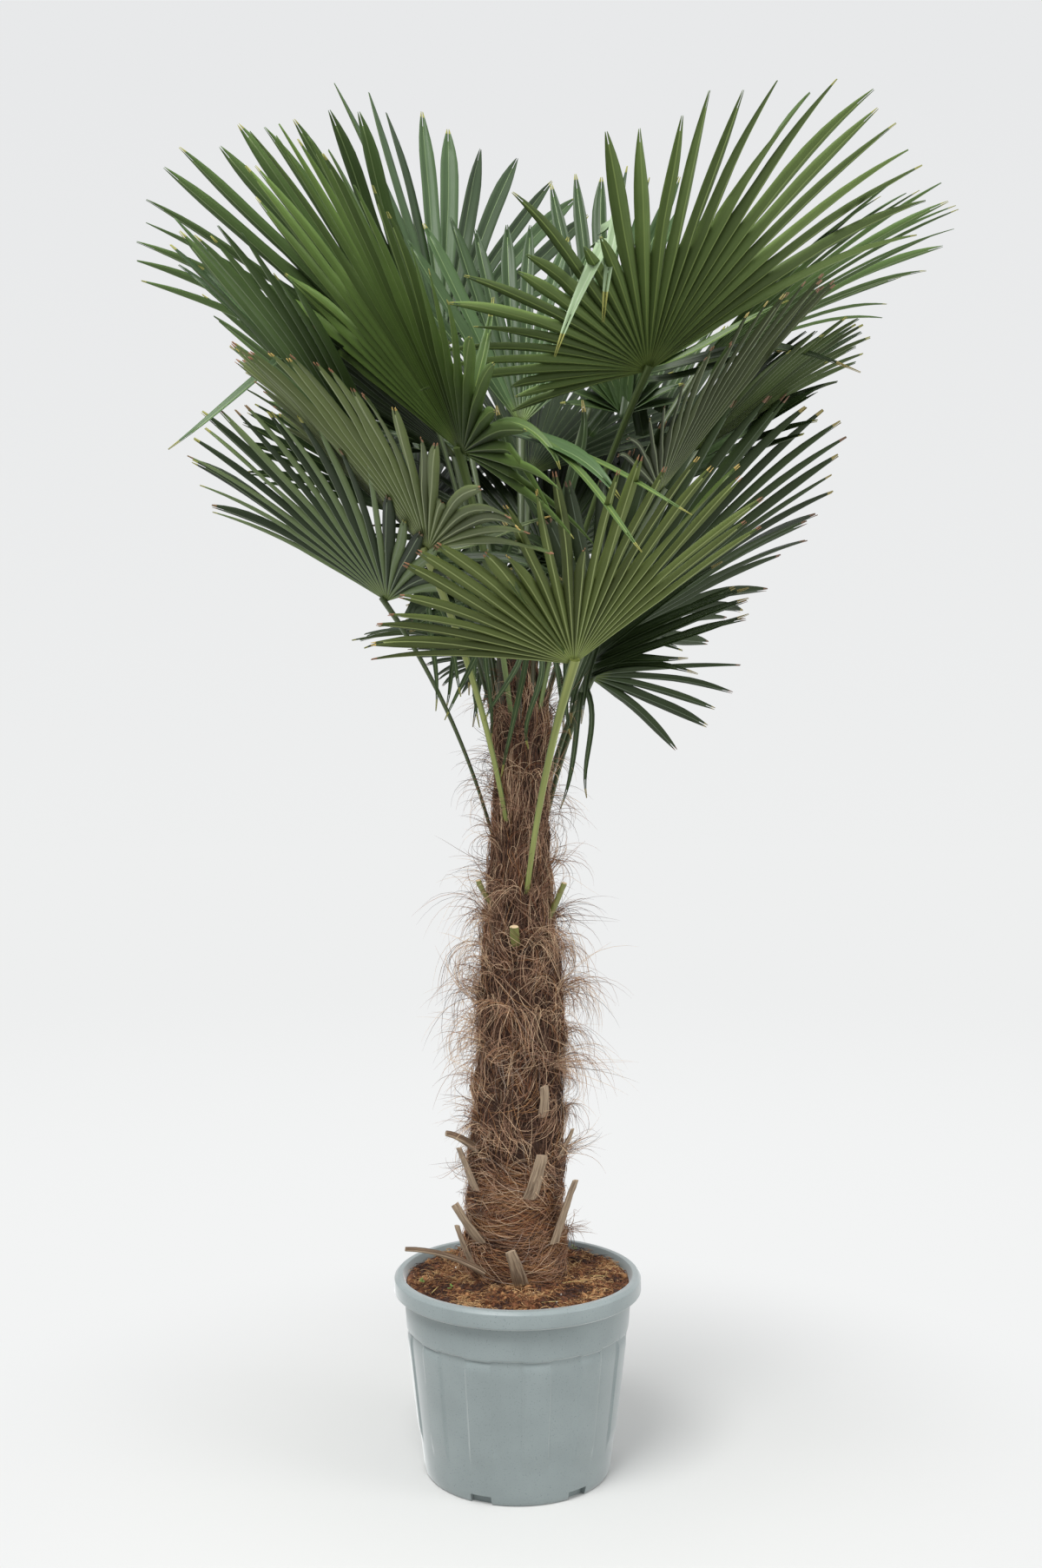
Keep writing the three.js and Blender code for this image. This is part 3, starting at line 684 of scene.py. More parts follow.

# %% [markdown]
# Palm fibre is dull. It is nearly black while it is deep in the mat and bleaches through brown
# and tan to straw where the sun reaches it; the deep strands are painted darker still, as the shade
# between them. A strand is far too thin to show a pattern, so seven plain materials are dealt out
# strand by strand. The stem itself only shows between the strands, as a rolled tube with a coarse
# skin, whose near black is old felted fibre and painted shade of the gaps.

# %% Fibre materials and the stem
FIBRE = [plain("palm_fibre_dark", "#352015", 0.75), plain("palm_fibre_brown", "#664836", 0.7),
         plain("palm_fibre_tan", "#a47f65", 0.65), plain("palm_fibre_straw", "#d3b492", 0.6),
         plain("palm_fibre_rust", "#85502f", 0.75), plain("palm_fibre_grey", "#a39182", 0.7),
         plain("palm_fibre_gold", "#a87a50", 0.7)]
DARK, BROWN, TAN, STRAW, RUST, GREY, GOLD = range(len(FIBRE))
SKIN_GRAIN = 60                       # bumps of the stem's skin, a metre
SKIN_BUMP = 3 * MM

# Old fibre is pressed into felt: matt and nearly black, with fine hairs drawn upright. Its near
# black also stands as painted shade between the strands.
matted_fibre_and_shade = two_toned("matted_palm_fibre_and_shade", "#1c110a", "#573b2a",
                         cell=(2.38 * MM, 2.38 * MM, 16.67 * MM), detail=3.0, fade=(0.0, 1.0),
                         roughness=0.9, relief=2 * MM, strength=0.8)


def stem_mesh():
    """The stem under the mat, as a closed tube with a coarse skin."""
    def place(turn, share):
        height = TRUNK_FOOT + (STEM_TOP - TRUNK_FOOT) * share
        point = Vector(on_trunk(np.float64(turn), np.float64(height), -SKIN))
        return point + level_way(turn) * (noise.noise(point * SKIN_GRAIN) * SKIN_BUMP)

    bm = bmesh.new()
    roll_tube(bm, 96, 340, place)
    close_ends(bm)
    return mesh_of(bm, "trunk")


finish("trunk", stem_mesh(), [matted_fibre_and_shade], ["trunk"])

# %% [markdown]
# The mat is laid in bands. In each one the strands share a heading, measured from upright, and a
# scatter about it: nearly level where the old fibre is wound round, all ways in the tangled
# middle, nearly upright below the crown. A strand follows the trunk's skin and arches a little.
# Real fibre lies in locks, so a slow swirl over the trunk makes neighbours turn and rise alike,
# and the strands that arch highest are palest, while those lying deep are painted darker, as the
# shade in the mat's hollows.

# %% How strands lie in the mat
MAT_STEPS = 7                         # points along a strand
MAT_TOP = 1.52
MAT_SUNK = 1.5 * MM                   # how deep a strand's ends go into the mat
WRONG_WAY = 0.16                      # share of strands that cross their lock
STRAY = 9                             # degrees by which a strand strays from its neighbours
FIBRE_ORDER = np.array((DARK, RUST, BROWN, GOLD, TAN, GREY, STRAW))       # from deep to high


def tones_by_lift(rng, lift, weights):
    """Tones for strands: the ones that lie deep are darker than the ones on top, partly as painted
    shade.
    """
    count = len(lift)
    share = np.array(weights)[FIBRE_ORDER]
    bounds = np.cumsum(share / share.sum())
    rank = np.argsort(np.argsort(lift + rng.normal(0, lift.std() * 0.8, count))) / count
    return FIBRE_ORDER[np.minimum(np.searchsorted(bounds, rank), len(FIBRE_ORDER) - 1)]


def swirl(turn, height, phase):
    """A slow wave over the trunk, from about -1 to 1, that makes neighbouring strands alike."""
    return (np.sin(2 * turn + 23 * height + phase) + np.sin(3 * turn - 37 * height + 2.1 * phase)
            + np.sin(5 * turn + 61 * height + 3.7 * phase)) / 1.8


def mat_strands(rng, count, band, heading, spread, length, bulge, wander, weights):
    """Strands that follow the trunk's skin, with their tones."""
    t = np.linspace(-0.5, 0.5, MAT_STEPS)[None]
    size = rng.uniform(*length, (count, 1))
    turn = rng.uniform(0, math.tau, (count, 1))
    height = rng.uniform(*band, (count, 1))
    crossing = rng.choice((-1, 1), (count, 1), p=(WRONG_WAY, 1 - WRONG_WAY))
    side = np.sign(swirl(turn, height, 0.7)) * crossing
    stray = rng.normal(0, STRAY, (count, 1))
    way = np.radians(heading * side + spread * swirl(turn, height, 3.0) + stray)
    curve = wander * (swirl(turn, height, 5.0) + rng.normal(0, 0.45, (count, 1)))
    way = way + curve * t
    rise = np.cumsum(np.cos(way), axis=1) * size / (MAT_STEPS - 1)
    round_ = np.cumsum(np.sin(way), axis=1) * size / (MAT_STEPS - 1)
    tuft = 0.35 + 0.65 * np.clip(swirl(turn, height, 8.0) + 0.4, 0, 1)
    height = np.clip(height + rise - rise[:, MAT_STEPS // 2][:, None], TRUNK_FOOT, MAT_TOP)
    turn = turn + round_ / trunk_axis(height)[0]
    arch_height = rng.uniform(0.1, 1, (count, 1)) ** 1.6 * bulge * tuft
    lift = arch_height * np.cos(math.pi * t) - MAT_SUNK
    uneven = rng.uniform(-2 * MM, 1 * MM, (count, 1))
    return on_trunk(turn, height, lift + uneven), tones_by_lift(rng, arch_height[:, 0], weights)


# %% [markdown]
# Six bands climb the trunk, and two of them make a piece, because a piece with too many
# faces is thinned when it is used elsewhere. The last column gives how common each fibre colour
# is: rusty and golden low down, nearly black between straw-coloured locks in the middle.

# %% The mat of fibre, band by band
# count, band of heights, heading and scatter in degrees, strand length, arch, wander, tone weights
MAT_BANDS = [
    (3600, (0.368, 0.58), 78, 9, (0.08, 0.20), 0.009, 0.6, (0.20, 0.26, 0.10, 0.02, 0.22, 0.01, 0.19)),
    (900, (0.368, 0.60), 56, 24, (0.05, 0.13), 0.012, 1.4, (0.20, 0.26, 0.14, 0.05, 0.15, 0.02, 0.18)),
    (2500, (0.56, 0.80), 46, 40, (0.05, 0.15), 0.016, 2.2, (0.46, 0.26, 0.12, 0.05, 0.04, 0.02, 0.05)),
    (2500, (0.76, 1.05), 40, 38, (0.07, 0.17), 0.019, 2.2, (0.50, 0.26, 0.11, 0.05, 0.04, 0.01, 0.03)),
    (3000, (1.02, 1.30), 12, 20, (0.06, 0.17), 0.013, 0.9, (0.42, 0.32, 0.12, 0.05, 0.06, 0.00, 0.03)),
    (1800, (1.25, 1.50), 5, 16, (0.06, 0.16), 0.012, 0.9, (0.44, 0.32, 0.10, 0.04, 0.07, 0.00, 0.03)),
]
MAT_RADIUS = (0.3 * MM, 0.65 * MM)


def fibre_piece(name, grow, bands, radii, seed):
    """The strands of several bands as one piece; grow gives a band's paths and tones."""
    rng = np.random.default_rng(seed)
    grown = [grow(rng, *band) for band in bands]
    paths = np.concatenate([paths for paths, _ in grown])
    tones = np.concatenate([tones for _, tones in grown])
    mesh = strand_mesh(name, paths, rng.uniform(*radii, len(paths)), tones)
    finish(name, mesh, FIBRE)


fibre_piece("fibre_mat_low", mat_strands, MAT_BANDS[:2], MAT_RADIUS, 21)
fibre_piece("fibre_mat_middle", mat_strands, MAT_BANDS[2:4], MAT_RADIUS, 22)
fibre_piece("fibre_mat_high", mat_strands, MAT_BANDS[4:], MAT_RADIUS, 23)

# %% [markdown]
# Loose hairs stand out from the lip of each old leaf base. Around the middle of the trunk they
# are long, lift off and fall over again; under the crown they point up and out; near the soil
# only a few are left. Each is a straight start that gravity bends.

# %% Loose hairs
# tufts, band of heights, length, outwards, upwards, fall, tone weights
HAIR_BANDS = [
    (30, (0.40, 0.60), (0.03, 0.08), 0.9, 0.5, 0.5, (0.05, 0.22, 0.33, 0.13, 0.10, 0.05, 0.12)),
    (80, (0.58, 0.78), (0.05, 0.12), 0.8, 0.6, 1.2, (0.06, 0.20, 0.34, 0.26, 0.02, 0.06, 0.06)),
    (112, (0.76, 1.02), (0.09, 0.19), 0.8, 1.0, 2.1, (0.06, 0.12, 0.34, 0.38, 0.02, 0.02, 0.06)),
    (90, (0.98, 1.20), (0.06, 0.15), 0.6, 0.9, 0.7, (0.16, 0.34, 0.28, 0.16, 0.04, 0.00, 0.02)),
    (90, (1.18, 1.44), (0.05, 0.14), 0.6, 1.1, 0.5, (0.20, 0.34, 0.24, 0.16, 0.04, 0.00, 0.02)),
    (56, (1.30, 1.47), (0.05, 0.12), 0.25, 1.7, 0.15, (0.34, 0.34, 0.16, 0.08, 0.06, 0.00, 0.02)),
]
HAIR_STEPS = 9                        # points along a hair
TUFT = 11                             # hairs in a tuft
TUFT_WIDTH = 0.12                     # radians round the trunk
TUFT_HEIGHT = 6 * MM
HAIR_RADIUS = (0.3 * MM, 0.6 * MM)
LIP = (0.70, 1.0)                     # part of a leaf base that hairs grow from
ROOT_DEPTH = 3 * MM
CURL = 0.21                           # how much a hair turns at each step
HAIR_DROP = 1.6 / HAIR_STEPS          # how much of the fall comes at each step


def hair_strands(rng, tufts, band, length, outwards, upwards, fall, weights):
    """Hairs in tufts from the lips of old leaf bases, with their tones; each step of a hair turns
    a little from the last."""
    def each(values):
        return np.repeat(values, TUFT, axis=0)

    count = tufts * TUFT
    turn = rng.uniform(0, math.tau, tufts)
    tier = np.floor(rng.uniform(*band, tufts) / TIER_PITCH)
    height = (tier + rng.uniform(*LIP, tufts) - (turn / math.pi) % 1.0) * TIER_PITCH
    height = np.clip(height, band[0], band[1] + TIER_PITCH / 2)
    turn = each(turn) + rng.normal(0, TUFT_WIDTH, count)
    height = each(height) + rng.normal(0, TUFT_HEIGHT, count)
    outward = np.stack([np.cos(turn), np.sin(turn), 0 * turn], -1)
    sideways = np.stack([-np.sin(turn), np.cos(turn), 0 * turn], -1)
    upward = np.array((0.0, 0.0, 1.0))
    lean = each(rng.normal(0, 0.75, (tufts, 1))) + rng.normal(0, 0.16, (count, 1))
    lift = each(rng.normal(upwards, 0.4, (tufts, 1))) + rng.normal(0, 0.16, (count, 1))
    way = outward * outwards + sideways * lean + upward * lift
    curl = each(rng.normal(0, CURL, (tufts, 3))) + rng.normal(0, CURL / 3, (count, 3))
    size = each(rng.uniform(*length, (tufts, 1))) * rng.uniform(0.35, 1.1, (count, 1))
    drop = fall * each(rng.uniform(0.3, 1.6, (tufts, 1)))
    points = [on_trunk(turn, height, -ROOT_DEPTH)]
    for _ in range(HAIR_STEPS - 1):
        way = unit(way)
        points.append(points[-1] + way * size / (HAIR_STEPS - 1))
        way = way + np.cross(curl, way) - upward * drop * HAIR_DROP
    return np.stack(points, axis=1), rng.choice(len(FIBRE), count, p=weights)


fibre_piece("loose_hairs_low", hair_strands, HAIR_BANDS[:3], HAIR_RADIUS, 31)
fibre_piece("loose_hairs_high", hair_strands, HAIR_BANDS[3:], HAIR_RADIUS, 32)

# %% [markdown]
# ## The fans
# Each leaf of this palm is a stiff fan. About half of its radius is one pleated sheet; beyond
# that it is cut into leaflets, each folded like a V about a pale rib and split in two at its
# tip. The table gives one row a leaf, in the order in which the solid fans were made.


# %% The table of leaves
def fan(name, kind, root, turn, length, fold, droop, skew, spread, foot):
    """One leaf. Its root is where the blade meets the stalk, turn its bearing, rise and roll in
    degrees, and foot the height on the trunk that its stalk comes from."""
    return {"name": name, "kind": kind, "root": Vector(root), "turn": turn, "length": length,
            "fold": math.radians(fold), "droop": droop, "skew": skew,
            "spread": [math.radians(angle) for angle in spread], "foot": foot}


FANS = [
    fan("front_low", "front", (0.095, -0.340, 1.487), (-89, 42, 15), 0.430,
        fold=12, droop=0.09, skew=0.13, spread=(-80, 64), foot=1.110),
    fan("right_top_front", "high", (0.230, -0.200, 2.014), (-83, 39, 17), 0.560,
        fold=10, droop=0.12, skew=0.18, spread=(-104, 70), foot=1.440),
    fan("left_top_front", "tall", (-0.095, -0.250, 1.859), (-144, 55, -16), 0.620,
        fold=-6, droop=0.05, skew=-0.08, spread=(-50, 105), foot=1.420),
    fan("left_front", "side", (-0.155, -0.250, 1.690), (-138, 41, -20), 0.490,
        fold=9, droop=0.10, skew=0, spread=(-60, 82), foot=1.250),
    fan("right_front", "shade", (0.258, -0.120, 1.815), (-31, 47, 22), 0.480,
        fold=11, droop=0.06, skew=0.03, spread=(-80, 20), foot=1.330),
    fan("right_low", "dark", (0.165, 0.200, 1.563), (3, 41, -20), 0.665,
        fold=7, droop=0.08, skew=-0.03, spread=(-90, 62), foot=1.230),
    fan("left_low", "folded", (-0.248, 0.000, 1.632), (177, 43, 21), 0.505,
        fold=4, droop=0.11, skew=-0.02, spread=(-30, 112), foot=1.215),
    fan("left_top", "blue", (-0.158, 0.000, 1.997), (-163, 37, 24), 0.663,
        fold=9, droop=0.07, skew=-0.08, spread=(-26, 46), foot=1.460),
    fan("back_left_top", "cool", (-0.147, 0.180, 2.163), (135, 73, -4), 0.560,
        fold=16, droop=0.04, skew=0, spread=(-62, 20), foot=1.480),
    fan("right_top", "blue", (0.346, 0.100, 2.098), (-6, 33, -2), 0.580,
        fold=2, droop=0.05, skew=0.02, spread=(-50, 40), foot=1.440),
    fan("back_right_low", "dark", (0.137, 0.150, 1.501), (31, 6, -40), 0.390,
        fold=2, droop=0.13, skew=0.04, spread=(-55, 35), foot=1.180),
    fan("left_middle", "blue", (-0.236, -0.050, 1.839), (-169, 48, -13), 0.600,
        fold=16, droop=0.05, skew=0.01, spread=(-20, 60), foot=1.340),
    fan("right_middle", "rear", (0.340, 0.050, 1.925), (-3, 37, -5), 0.405,
        fold=-1, droop=0.06, skew=0.03, spread=(-62, 26), foot=1.350),
    fan("back_left_middle", "blue", (-0.220, 0.180, 1.884), (183, 45, 17), 0.565,
        fold=12, droop=0.04, skew=0.01, spread=(-45, 20), foot=1.370),
    fan("left_inner", "dark", (-0.112, 0.070, 1.915), (172, 34, 6), 0.450,
        fold=6, droop=0.06, skew=0, spread=(-60, 50), foot=1.405),
    fan("centre_young_left", "blue", (0.006, 0.120, 1.992), (95, 78, 9), 0.437,
        fold=18, droop=0.02, skew=0.02, spread=(-50, 50), foot=1.530),
    fan("centre_young_right", "blue", (0.164, 0.200, 2.098), (60, 87, 2), 0.440,
        fold=15, droop=0.03, skew=0.08, spread=(-45, 20), foot=1.515),
    fan("back_middle", "dark", (0.062, 0.300, 1.750), (88, 62, 0), 0.430,
        fold=10, droop=0.06, skew=0, spread=(-85, 85), foot=1.300),
    fan("back_left_low", "dark", (-0.040, 0.230, 1.535), (128, 4, 30), 0.235,
        fold=6, droop=0.14, skew=0, spread=(-90, 80), foot=1.190),
    fan("back_right", "rear", (0.225, 0.290, 1.862), (45, 58, 0), 0.530,
        fold=8, droop=0.06, skew=0, spread=(-82, 82), foot=1.395),
    fan("back_left", "rear", (-0.215, 0.300, 1.838), (128, 54, 0), 0.445,
        fold=8, droop=0.06, skew=0, spread=(-88, 88), foot=1.375),
    fan("back_low", "rear", (0.000, 0.360, 1.590), (92, 20, 0), 0.400,
        fold=6, droop=0.14, skew=0, spread=(-88, 88), foot=1.230),
    fan("back_top", "rear", (0.020, 0.300, 1.930), (88, 55, 0), 0.470,
        fold=10, droop=0.06, skew=0, spread=(-80, 80), foot=1.460),
]
print(len(FANS), "fans")

# %% [markdown]
# ## The rule that every fan grows by
# A leaflet runs out from the root along a ray that is turned away from the fan's axis. Leaflets
# at the sides are shorter, the whole fan is folded a little like a book, and the tips sag. The
# function gives a point on a leaflet's middle line with the directions across it and out of it.

# %% The rule of the blade
SIDE_SHORTENING = 0.38                # how much shorter a leaflet is at the widest angle
WIDEST = math.radians(150)
DROOP_POWER = 2.2
DROOP_UPRIGHT = 0.25                  # share of the droop that an upright leaflet keeps
NEARBY = 0.01                         # a small step, for the direction across a leaflet


def blade_frame(row):
    """The blade's axis, side and upper face, as unit vectors."""
    bearing, rise, roll = (math.radians(angle) for angle in row["turn"])
    flat = level_way(bearing)
    axis = flat * math.cos(rise) + UP * math.sin(rise)
    face = flat * -math.sin(rise) + UP * math.cos(rise)
    face.rotate(Quaternion(axis, roll))
    return axis, face.cross(axis), face


for row in FANS:
    row["frame"] = blade_frame(row)


def ray_at(row, angle):
    """The direction in which the leaflet at an angle leaves the root."""
    axis, side, face = row["frame"]
    fold = row["fold"]
    return (axis * math.cos(angle) + side * (math.sin(angle) * math.cos(fold))
            + face * (abs(math.sin(angle)) * math.sin(fold)))


def blade_point(row, angle, share):
    """Point, directions across and out, and length of the leaflet at an angle."""
    ray = ray_at(row, angle)
    across = (ray_at(row, angle + NEARBY) - ray_at(row, angle - NEARBY)).normalized()
    out = ray.cross(across).normalized()
    shortening = 1 - SIDE_SHORTENING * (angle / WIDEST) ** 2
    length = row["length"] * shortening * (1 + row["skew"] * math.sin(angle))
    level = DROOP_UPRIGHT + (1 - DROOP_UPRIGHT) * math.hypot(ray.x, ray.y)
    sag = row["droop"] * length * level * share ** DROOP_POWER
    return row["root"] + ray * (length * share) + DOWN * sag, across, out, length


# %% [markdown]
# ## The outline of a leaflet
# Seen flat, a leaflet is a strap. It follows the pleat while it is part of the sheet, widens a
# little where it comes free, tapers to its end and is split there into two points. A power curve
# gives the taper: a high power keeps the strap broad for long and rounds it late. The outer half
# width draws the edge and the inner one the rib, which becomes the slit between the two points.

# %% Outline of a leaflet
RELAXED = 0.05                        # how much a free leaflet widens as its fold opens
RELAXED_BY = 0.3
# where the taper starts, its power, and how far apart the two points of the tip are
SLENDER = (0.38, 1.8, 0.11)
LONG = (0.56, 1.9, 0.11)
BLUNT = (0.52, 2.1, 0.26)
SLIT_START = 0.88
SLIT_EDGE = 0.4 * MM                  # what each point of the tip keeps of the rib
RIB_HALF = 0.8 * MM
RIB_SHARE = 0.24                      # and at most this share of the half width
LEAST_WIDTH = 0.2 * MM                # keeps the very end from closing to nothing


def leaflet_outline(t, half_width, shape):
    """Outer and inner half width of a leaflet at a share t of its free part."""
    start, power, apart = shape
    taper = 1 - max(0.0, (t - start) / (1 - start)) ** power
    relaxed = 1 + RELAXED * smooth_step(0.0, RELAXED_BY, t)
    outer = half_width * (apart + (1 - apart) * taper) * relaxed
    slit = max(0.0, (t - SLIT_START) / (1 - SLIT_START))
    inner = max(min(RIB_HALF, outer * RIB_SHARE), half_width * apart * slit - SLIT_EDGE)
    return outer + LEAST_WIDTH, min(inner, outer)


# %% [markdown]
# ## The course of a leaflet
# Up to where it comes free, a leaflet lies in the sheet and follows the rule of the blade. From
# there on it has a little sway, twist and sag of its own, and some are broken and hang. So its
# middle line is walked row by row: each step is turned by what has been added up so far, which
# is how a real strap bends, since what happens near its foot carries all the rest along.

# %% Rows of a leaflet
JOINED_ROWS = (0.03, 0.12, 0.45, 0.80)          # rows of the joined part, as shares of its length
FREE_ROWS = (0.0, 0.13, 0.27, 0.41, 0.55, 0.68, 0.79, 0.89, 0.955, 1.0)
SWAY_LENGTH = 6.5                     # radians of the sway's wave from foot to tip
NARROWED_BY = 0.16                    # share of the free part over which a leaflet narrows


def leaflet_rows(row, angle, half, habit):
    """Where each row of a leaflet's grid lies, and how wide it is there."""
    split = habit["split"]
    reach = habit["reach"]
    free_shares = [split + (reach - split) * t for t in FREE_ROWS]
    turn = Quaternion()
    bent = False
    rows = []
    for share in [split * t for t in JOINED_ROWS] + free_shares:
        base, across, out, length = blade_point(row, angle, share)
        t = max(0.0, (share - split) / (reach - split))
        point = base
        if rows:
            move = base - rows[-1]["base"]
            way = (turn @ move).normalized()
            step = t - rows[-1]["t"]
            swing = habit["sway"] + habit["wave"] * math.sin(habit["phase"] + SWAY_LENGTH * t)
            turn = Quaternion(turn @ out, swing * step) @ turn
            turn = Quaternion(way, habit["twist"] * step) @ turn
            sink = way.cross(DOWN)
            if sink.length > 0.02:
                turn = Quaternion(sink.normalized(), habit["sag"] * sink.length * t * step) @ turn
            if habit["bend"] and t > habit["bend"][0] and not bent:
                bent = True
                turn = way.rotation_difference(habit["bend"][1]) @ turn
            point = rows[-1]["point"] + turn @ move
        wide = math.tan(half) * min(share, split) * length
        outer, inner = leaflet_outline(t, wide, habit["shape"])
        narrower = 1 + (habit["width"] - 1) * smooth_step(-0.001, NARROWED_BY, t)
        rows.append({"t": t, "base": base, "point": point, "across": turn @ across, "out": turn @ out,
                     "outer": max(outer * narrower, inner), "inner": inner, "along": share * length})
    return rows


# %% [markdown]
# ## The mesh of a leaflet
# Each leaflet starts as a flat grid, five faces wide, with the rib as the middle one. The grid is
# laid on the rows: the V fold lifts the edges over the rib, and the last faces of the rib are
# left out so that the tip is split. Its own UV map keeps the distances across and along it in
# metres, which the veins are drawn from later.

# %% Lay a leaflet
COLUMNS = 6                           # points across
RIB_COLUMN = 2
FOLD_DEPTH = 0.42                     # height of the V, as a share of the half width
FREE_FOLD = 0.25
HALFWAY_LIFT = -0.12                  # height between edge and rib, as a share of the V
UPPER, RIB, TIP_YELLOW, TIP_BROWN = 0, 3, 4, 5          # materials: UPPER is the first of three


def lay_leaflet(bm, uv, rows, habit):
    """Makes one leaflet from a flat grid laid along its rows."""
    steps = len(rows) - 1
    made = bmesh.ops.create_grid(bm, x_segments=COLUMNS - 1, y_segments=steps, size=0.5)["verts"]
    place = {}
    for vert in made:
        column = round((vert.co.x + 0.5) * (COLUMNS - 1))
        index = round((vert.co.y + 0.5) * steps)
        at = rows[index]
        sign = -1 if column < COLUMNS / 2 else 1
        level = min(column, COLUMNS - 1 - column)
        opened = smooth_step(0, RELAXED_BY, at["t"])
        fold = at["outer"] * (FOLD_DEPTH + (FREE_FOLD - FOLD_DEPTH) * opened)
        wide = (at["outer"], (at["outer"] + at["inner"]) / 2, at["inner"])[level]
        lift = (fold, HALFWAY_LIFT * fold, -fold)[level]
        vert.co = at["point"] + at["across"] * (sign * wide) + at["out"] * lift
        place[vert] = (index, column, sign * wide, at["along"])
    slit_faces = []
    for face in {face for vert in made for face in vert.link_faces}:
        index = min(place[vert][0] for vert in face.verts)
        column = min(place[vert][1] for vert in face.verts)
        face.material_index = RIB if column == RIB_COLUMN else habit["tones"][column > RIB_COLUMN]
        if index >= steps - habit["tip"][1]:
            face.material_index = habit["tip"][0]
        if column == RIB_COLUMN and rows[index]["t"] >= SLIT_START:
            slit_faces.append(face)
        for loop in face.loops:
            loop[uv].uv = place[loop.vert][2:]
    bmesh.ops.delete(bm, geom=slit_faces, context="FACES_KEEP_BOUNDARY")


# %% [markdown]
# ## Leaf materials
# The upper side of a leaf is glossy, with a waxy skin over dark green. The underside is duller
# and greyer, from a fine bloom. Both are lined lengthwise by veins, drawn coarser than the real
# millimetre so that they show, from the leaflet's own UV map, where U is the distance across it.
# Towards the stalk the sheet turns yellow green. Leaflets differ, so each side has three tones,
# dealt out leaflet by leaflet.

# %% Waxy leaf skin
VEIN_SPACING = 5.0 * MM
VEIN_RELIEF = 0.5 * MM
WAVE_SCALE = 0.314                    # a wave texture of scale 1 repeats after this length
PATCH_SIZE = 45.45 * MM
PATCH_TONES = (0.84, 1.14)
VEIN_TONE = 0.7
VEIN_STRENGTH = 0.18
HEART_COLOUR = "#8b9a4c"
HEART_REACH = 60 * MM
HEART_STRENGTH = 0.5


def leaf_skin(name, hex_colour, factor, roughness, specular):
    """Leaf under a waxy skin: veins lengthwise, soft patches and a yellow-green heart."""
    made, tree, shader = new_material(name, Roughness=roughness, IOR=1.45)
    shader.inputs["Specular IOR Level"].default_value = specular
    coordinates = add_node(tree, "TexCoord")
    veins = add_node(tree, "TexWave",
                     {"Vector": coordinates.outputs["UV"], "Scale": WAVE_SCALE / VEIN_SPACING,
                      "Distortion": 0.6, "Detail": 1.0}, bands_direction="X")
    patches = add_node(tree, "TexNoise",
                       {"Vector": coordinates.outputs["Object"], "Scale": 1 / PATCH_SIZE, "Detail": 3.0})
    dark, light = (linear(hex_colour, factor * tone) for tone in PATCH_TONES)
    patchy = mix_colours(tree, patches.outputs["Fac"], dark, light)
    veined = add_node(tree, "Math", {0: veins.outputs["Fac"], 1: VEIN_STRENGTH}, operation="MULTIPLY")
    vein_colour = linear(hex_colour, factor * VEIN_TONE)
    colour = mix_colours(tree, veined.outputs["Value"], patchy, vein_colour)
    along = add_node(tree, "SeparateXYZ", {"Vector": coordinates.outputs["UV"]}).outputs["Y"]
    heart = add_node(tree, "MapRange",
                     {"Value": along, "From Min": 0.0, "From Max": HEART_REACH,
                      "To Min": HEART_STRENGTH, "To Max": 0.0})
    colour = mix_colours(tree, heart.outputs["Result"], colour, linear(HEART_COLOUR, factor))
    tree.links.new(colour, shader.inputs["Base Color"])
    relief = add_node(tree, "Bump", {"Height": veins.outputs["Fac"],
                                     "Strength": 0.15, "Distance": VEIN_RELIEF})
    tree.links.new(relief.outputs["Normal"], shader.inputs["Normal"])
    return made


# %% [markdown]
# Light falls on each fan in its own way and the leaves are of different ages, so the fans come in
# kinds, each with its own greens. The greens are partly the leaves' own and partly painted light:
# the fans in front are painted lighter, as lit, in a bright yellow green, those high up are blue
# green, and the kinds deep in the crown (shade, dark and rear) are painted nearly black, as painted
# shade. Tips dry out from the end, first to yellow and then to brown. A Solidify modifier gives a
# leaf its second side, and its material offset picks the second half of this list, so the two
# sides of one sheet have different skins.

# %% Greens of the leaves
# upper side, underside, rib above, rib below
# the front and side greens are painted as lit; the shade, dark and rear greens are painted shade
LEAF_COLOURS = {
    "front": ("#39481d", "#4f5a2c", "#6b763f", "#7f8a50"),
    "side": ("#414e2b", "#5a653b", "#6e784a", "#828c5b"),
    "shade": ("#2c381c", "#3d4627", "#525d3a", "#626d45"),
    "high": ("#485c2f", "#596b39", "#6f8140", "#748645"),
    "tall": ("#42572a", "#4e632d", "#687b3d", "#6c803d"),
    "blue": ("#3f5532", "#4b6033", "#6a7e51", "#6a7c4d"),
    "cool": ("#374a2c", "#42542e", "#5d6f48", "#5e6e45"),
    "dark": ("#263319", "#283519", "#465731", "#415035"),
    "folded": ("#26331e", "#28351d", "#55653c", "#586843"),
    "rear": ("#2c3d1d", "#394622", "#536337", "#5b673e"),
    "pale": ("#788a6a", "#788a6a", "#8c9b7d", "#8c9b7d"),
}
# yellow and brown of the dry tips, for the kinds whose tips are drier than the plain ones
# the tips of the shade and dark kinds are painted darker, as shade
TIP_COLOURS = {
    "front": ("#a58d4b", "#7b563a"),
    "side": ("#a58d4b", "#7b563a"),
    "shade": ("#968750", "#70543c"),
    "dark": ("#877b47", "#674d37"),
}
PLAIN_TIPS = ("#83833f", "#6f5a3c")
PALE_FOLD = "#5c6b45"                 # where a folded leaf shows the paler half of its pleats
TONE_STEPS = (0.74, 1.0, 1.26)
SIDE_GLOSS = {"upper": (0.46, 0.36), "under": (0.60, 0.24)}         # roughness, strength of gloss


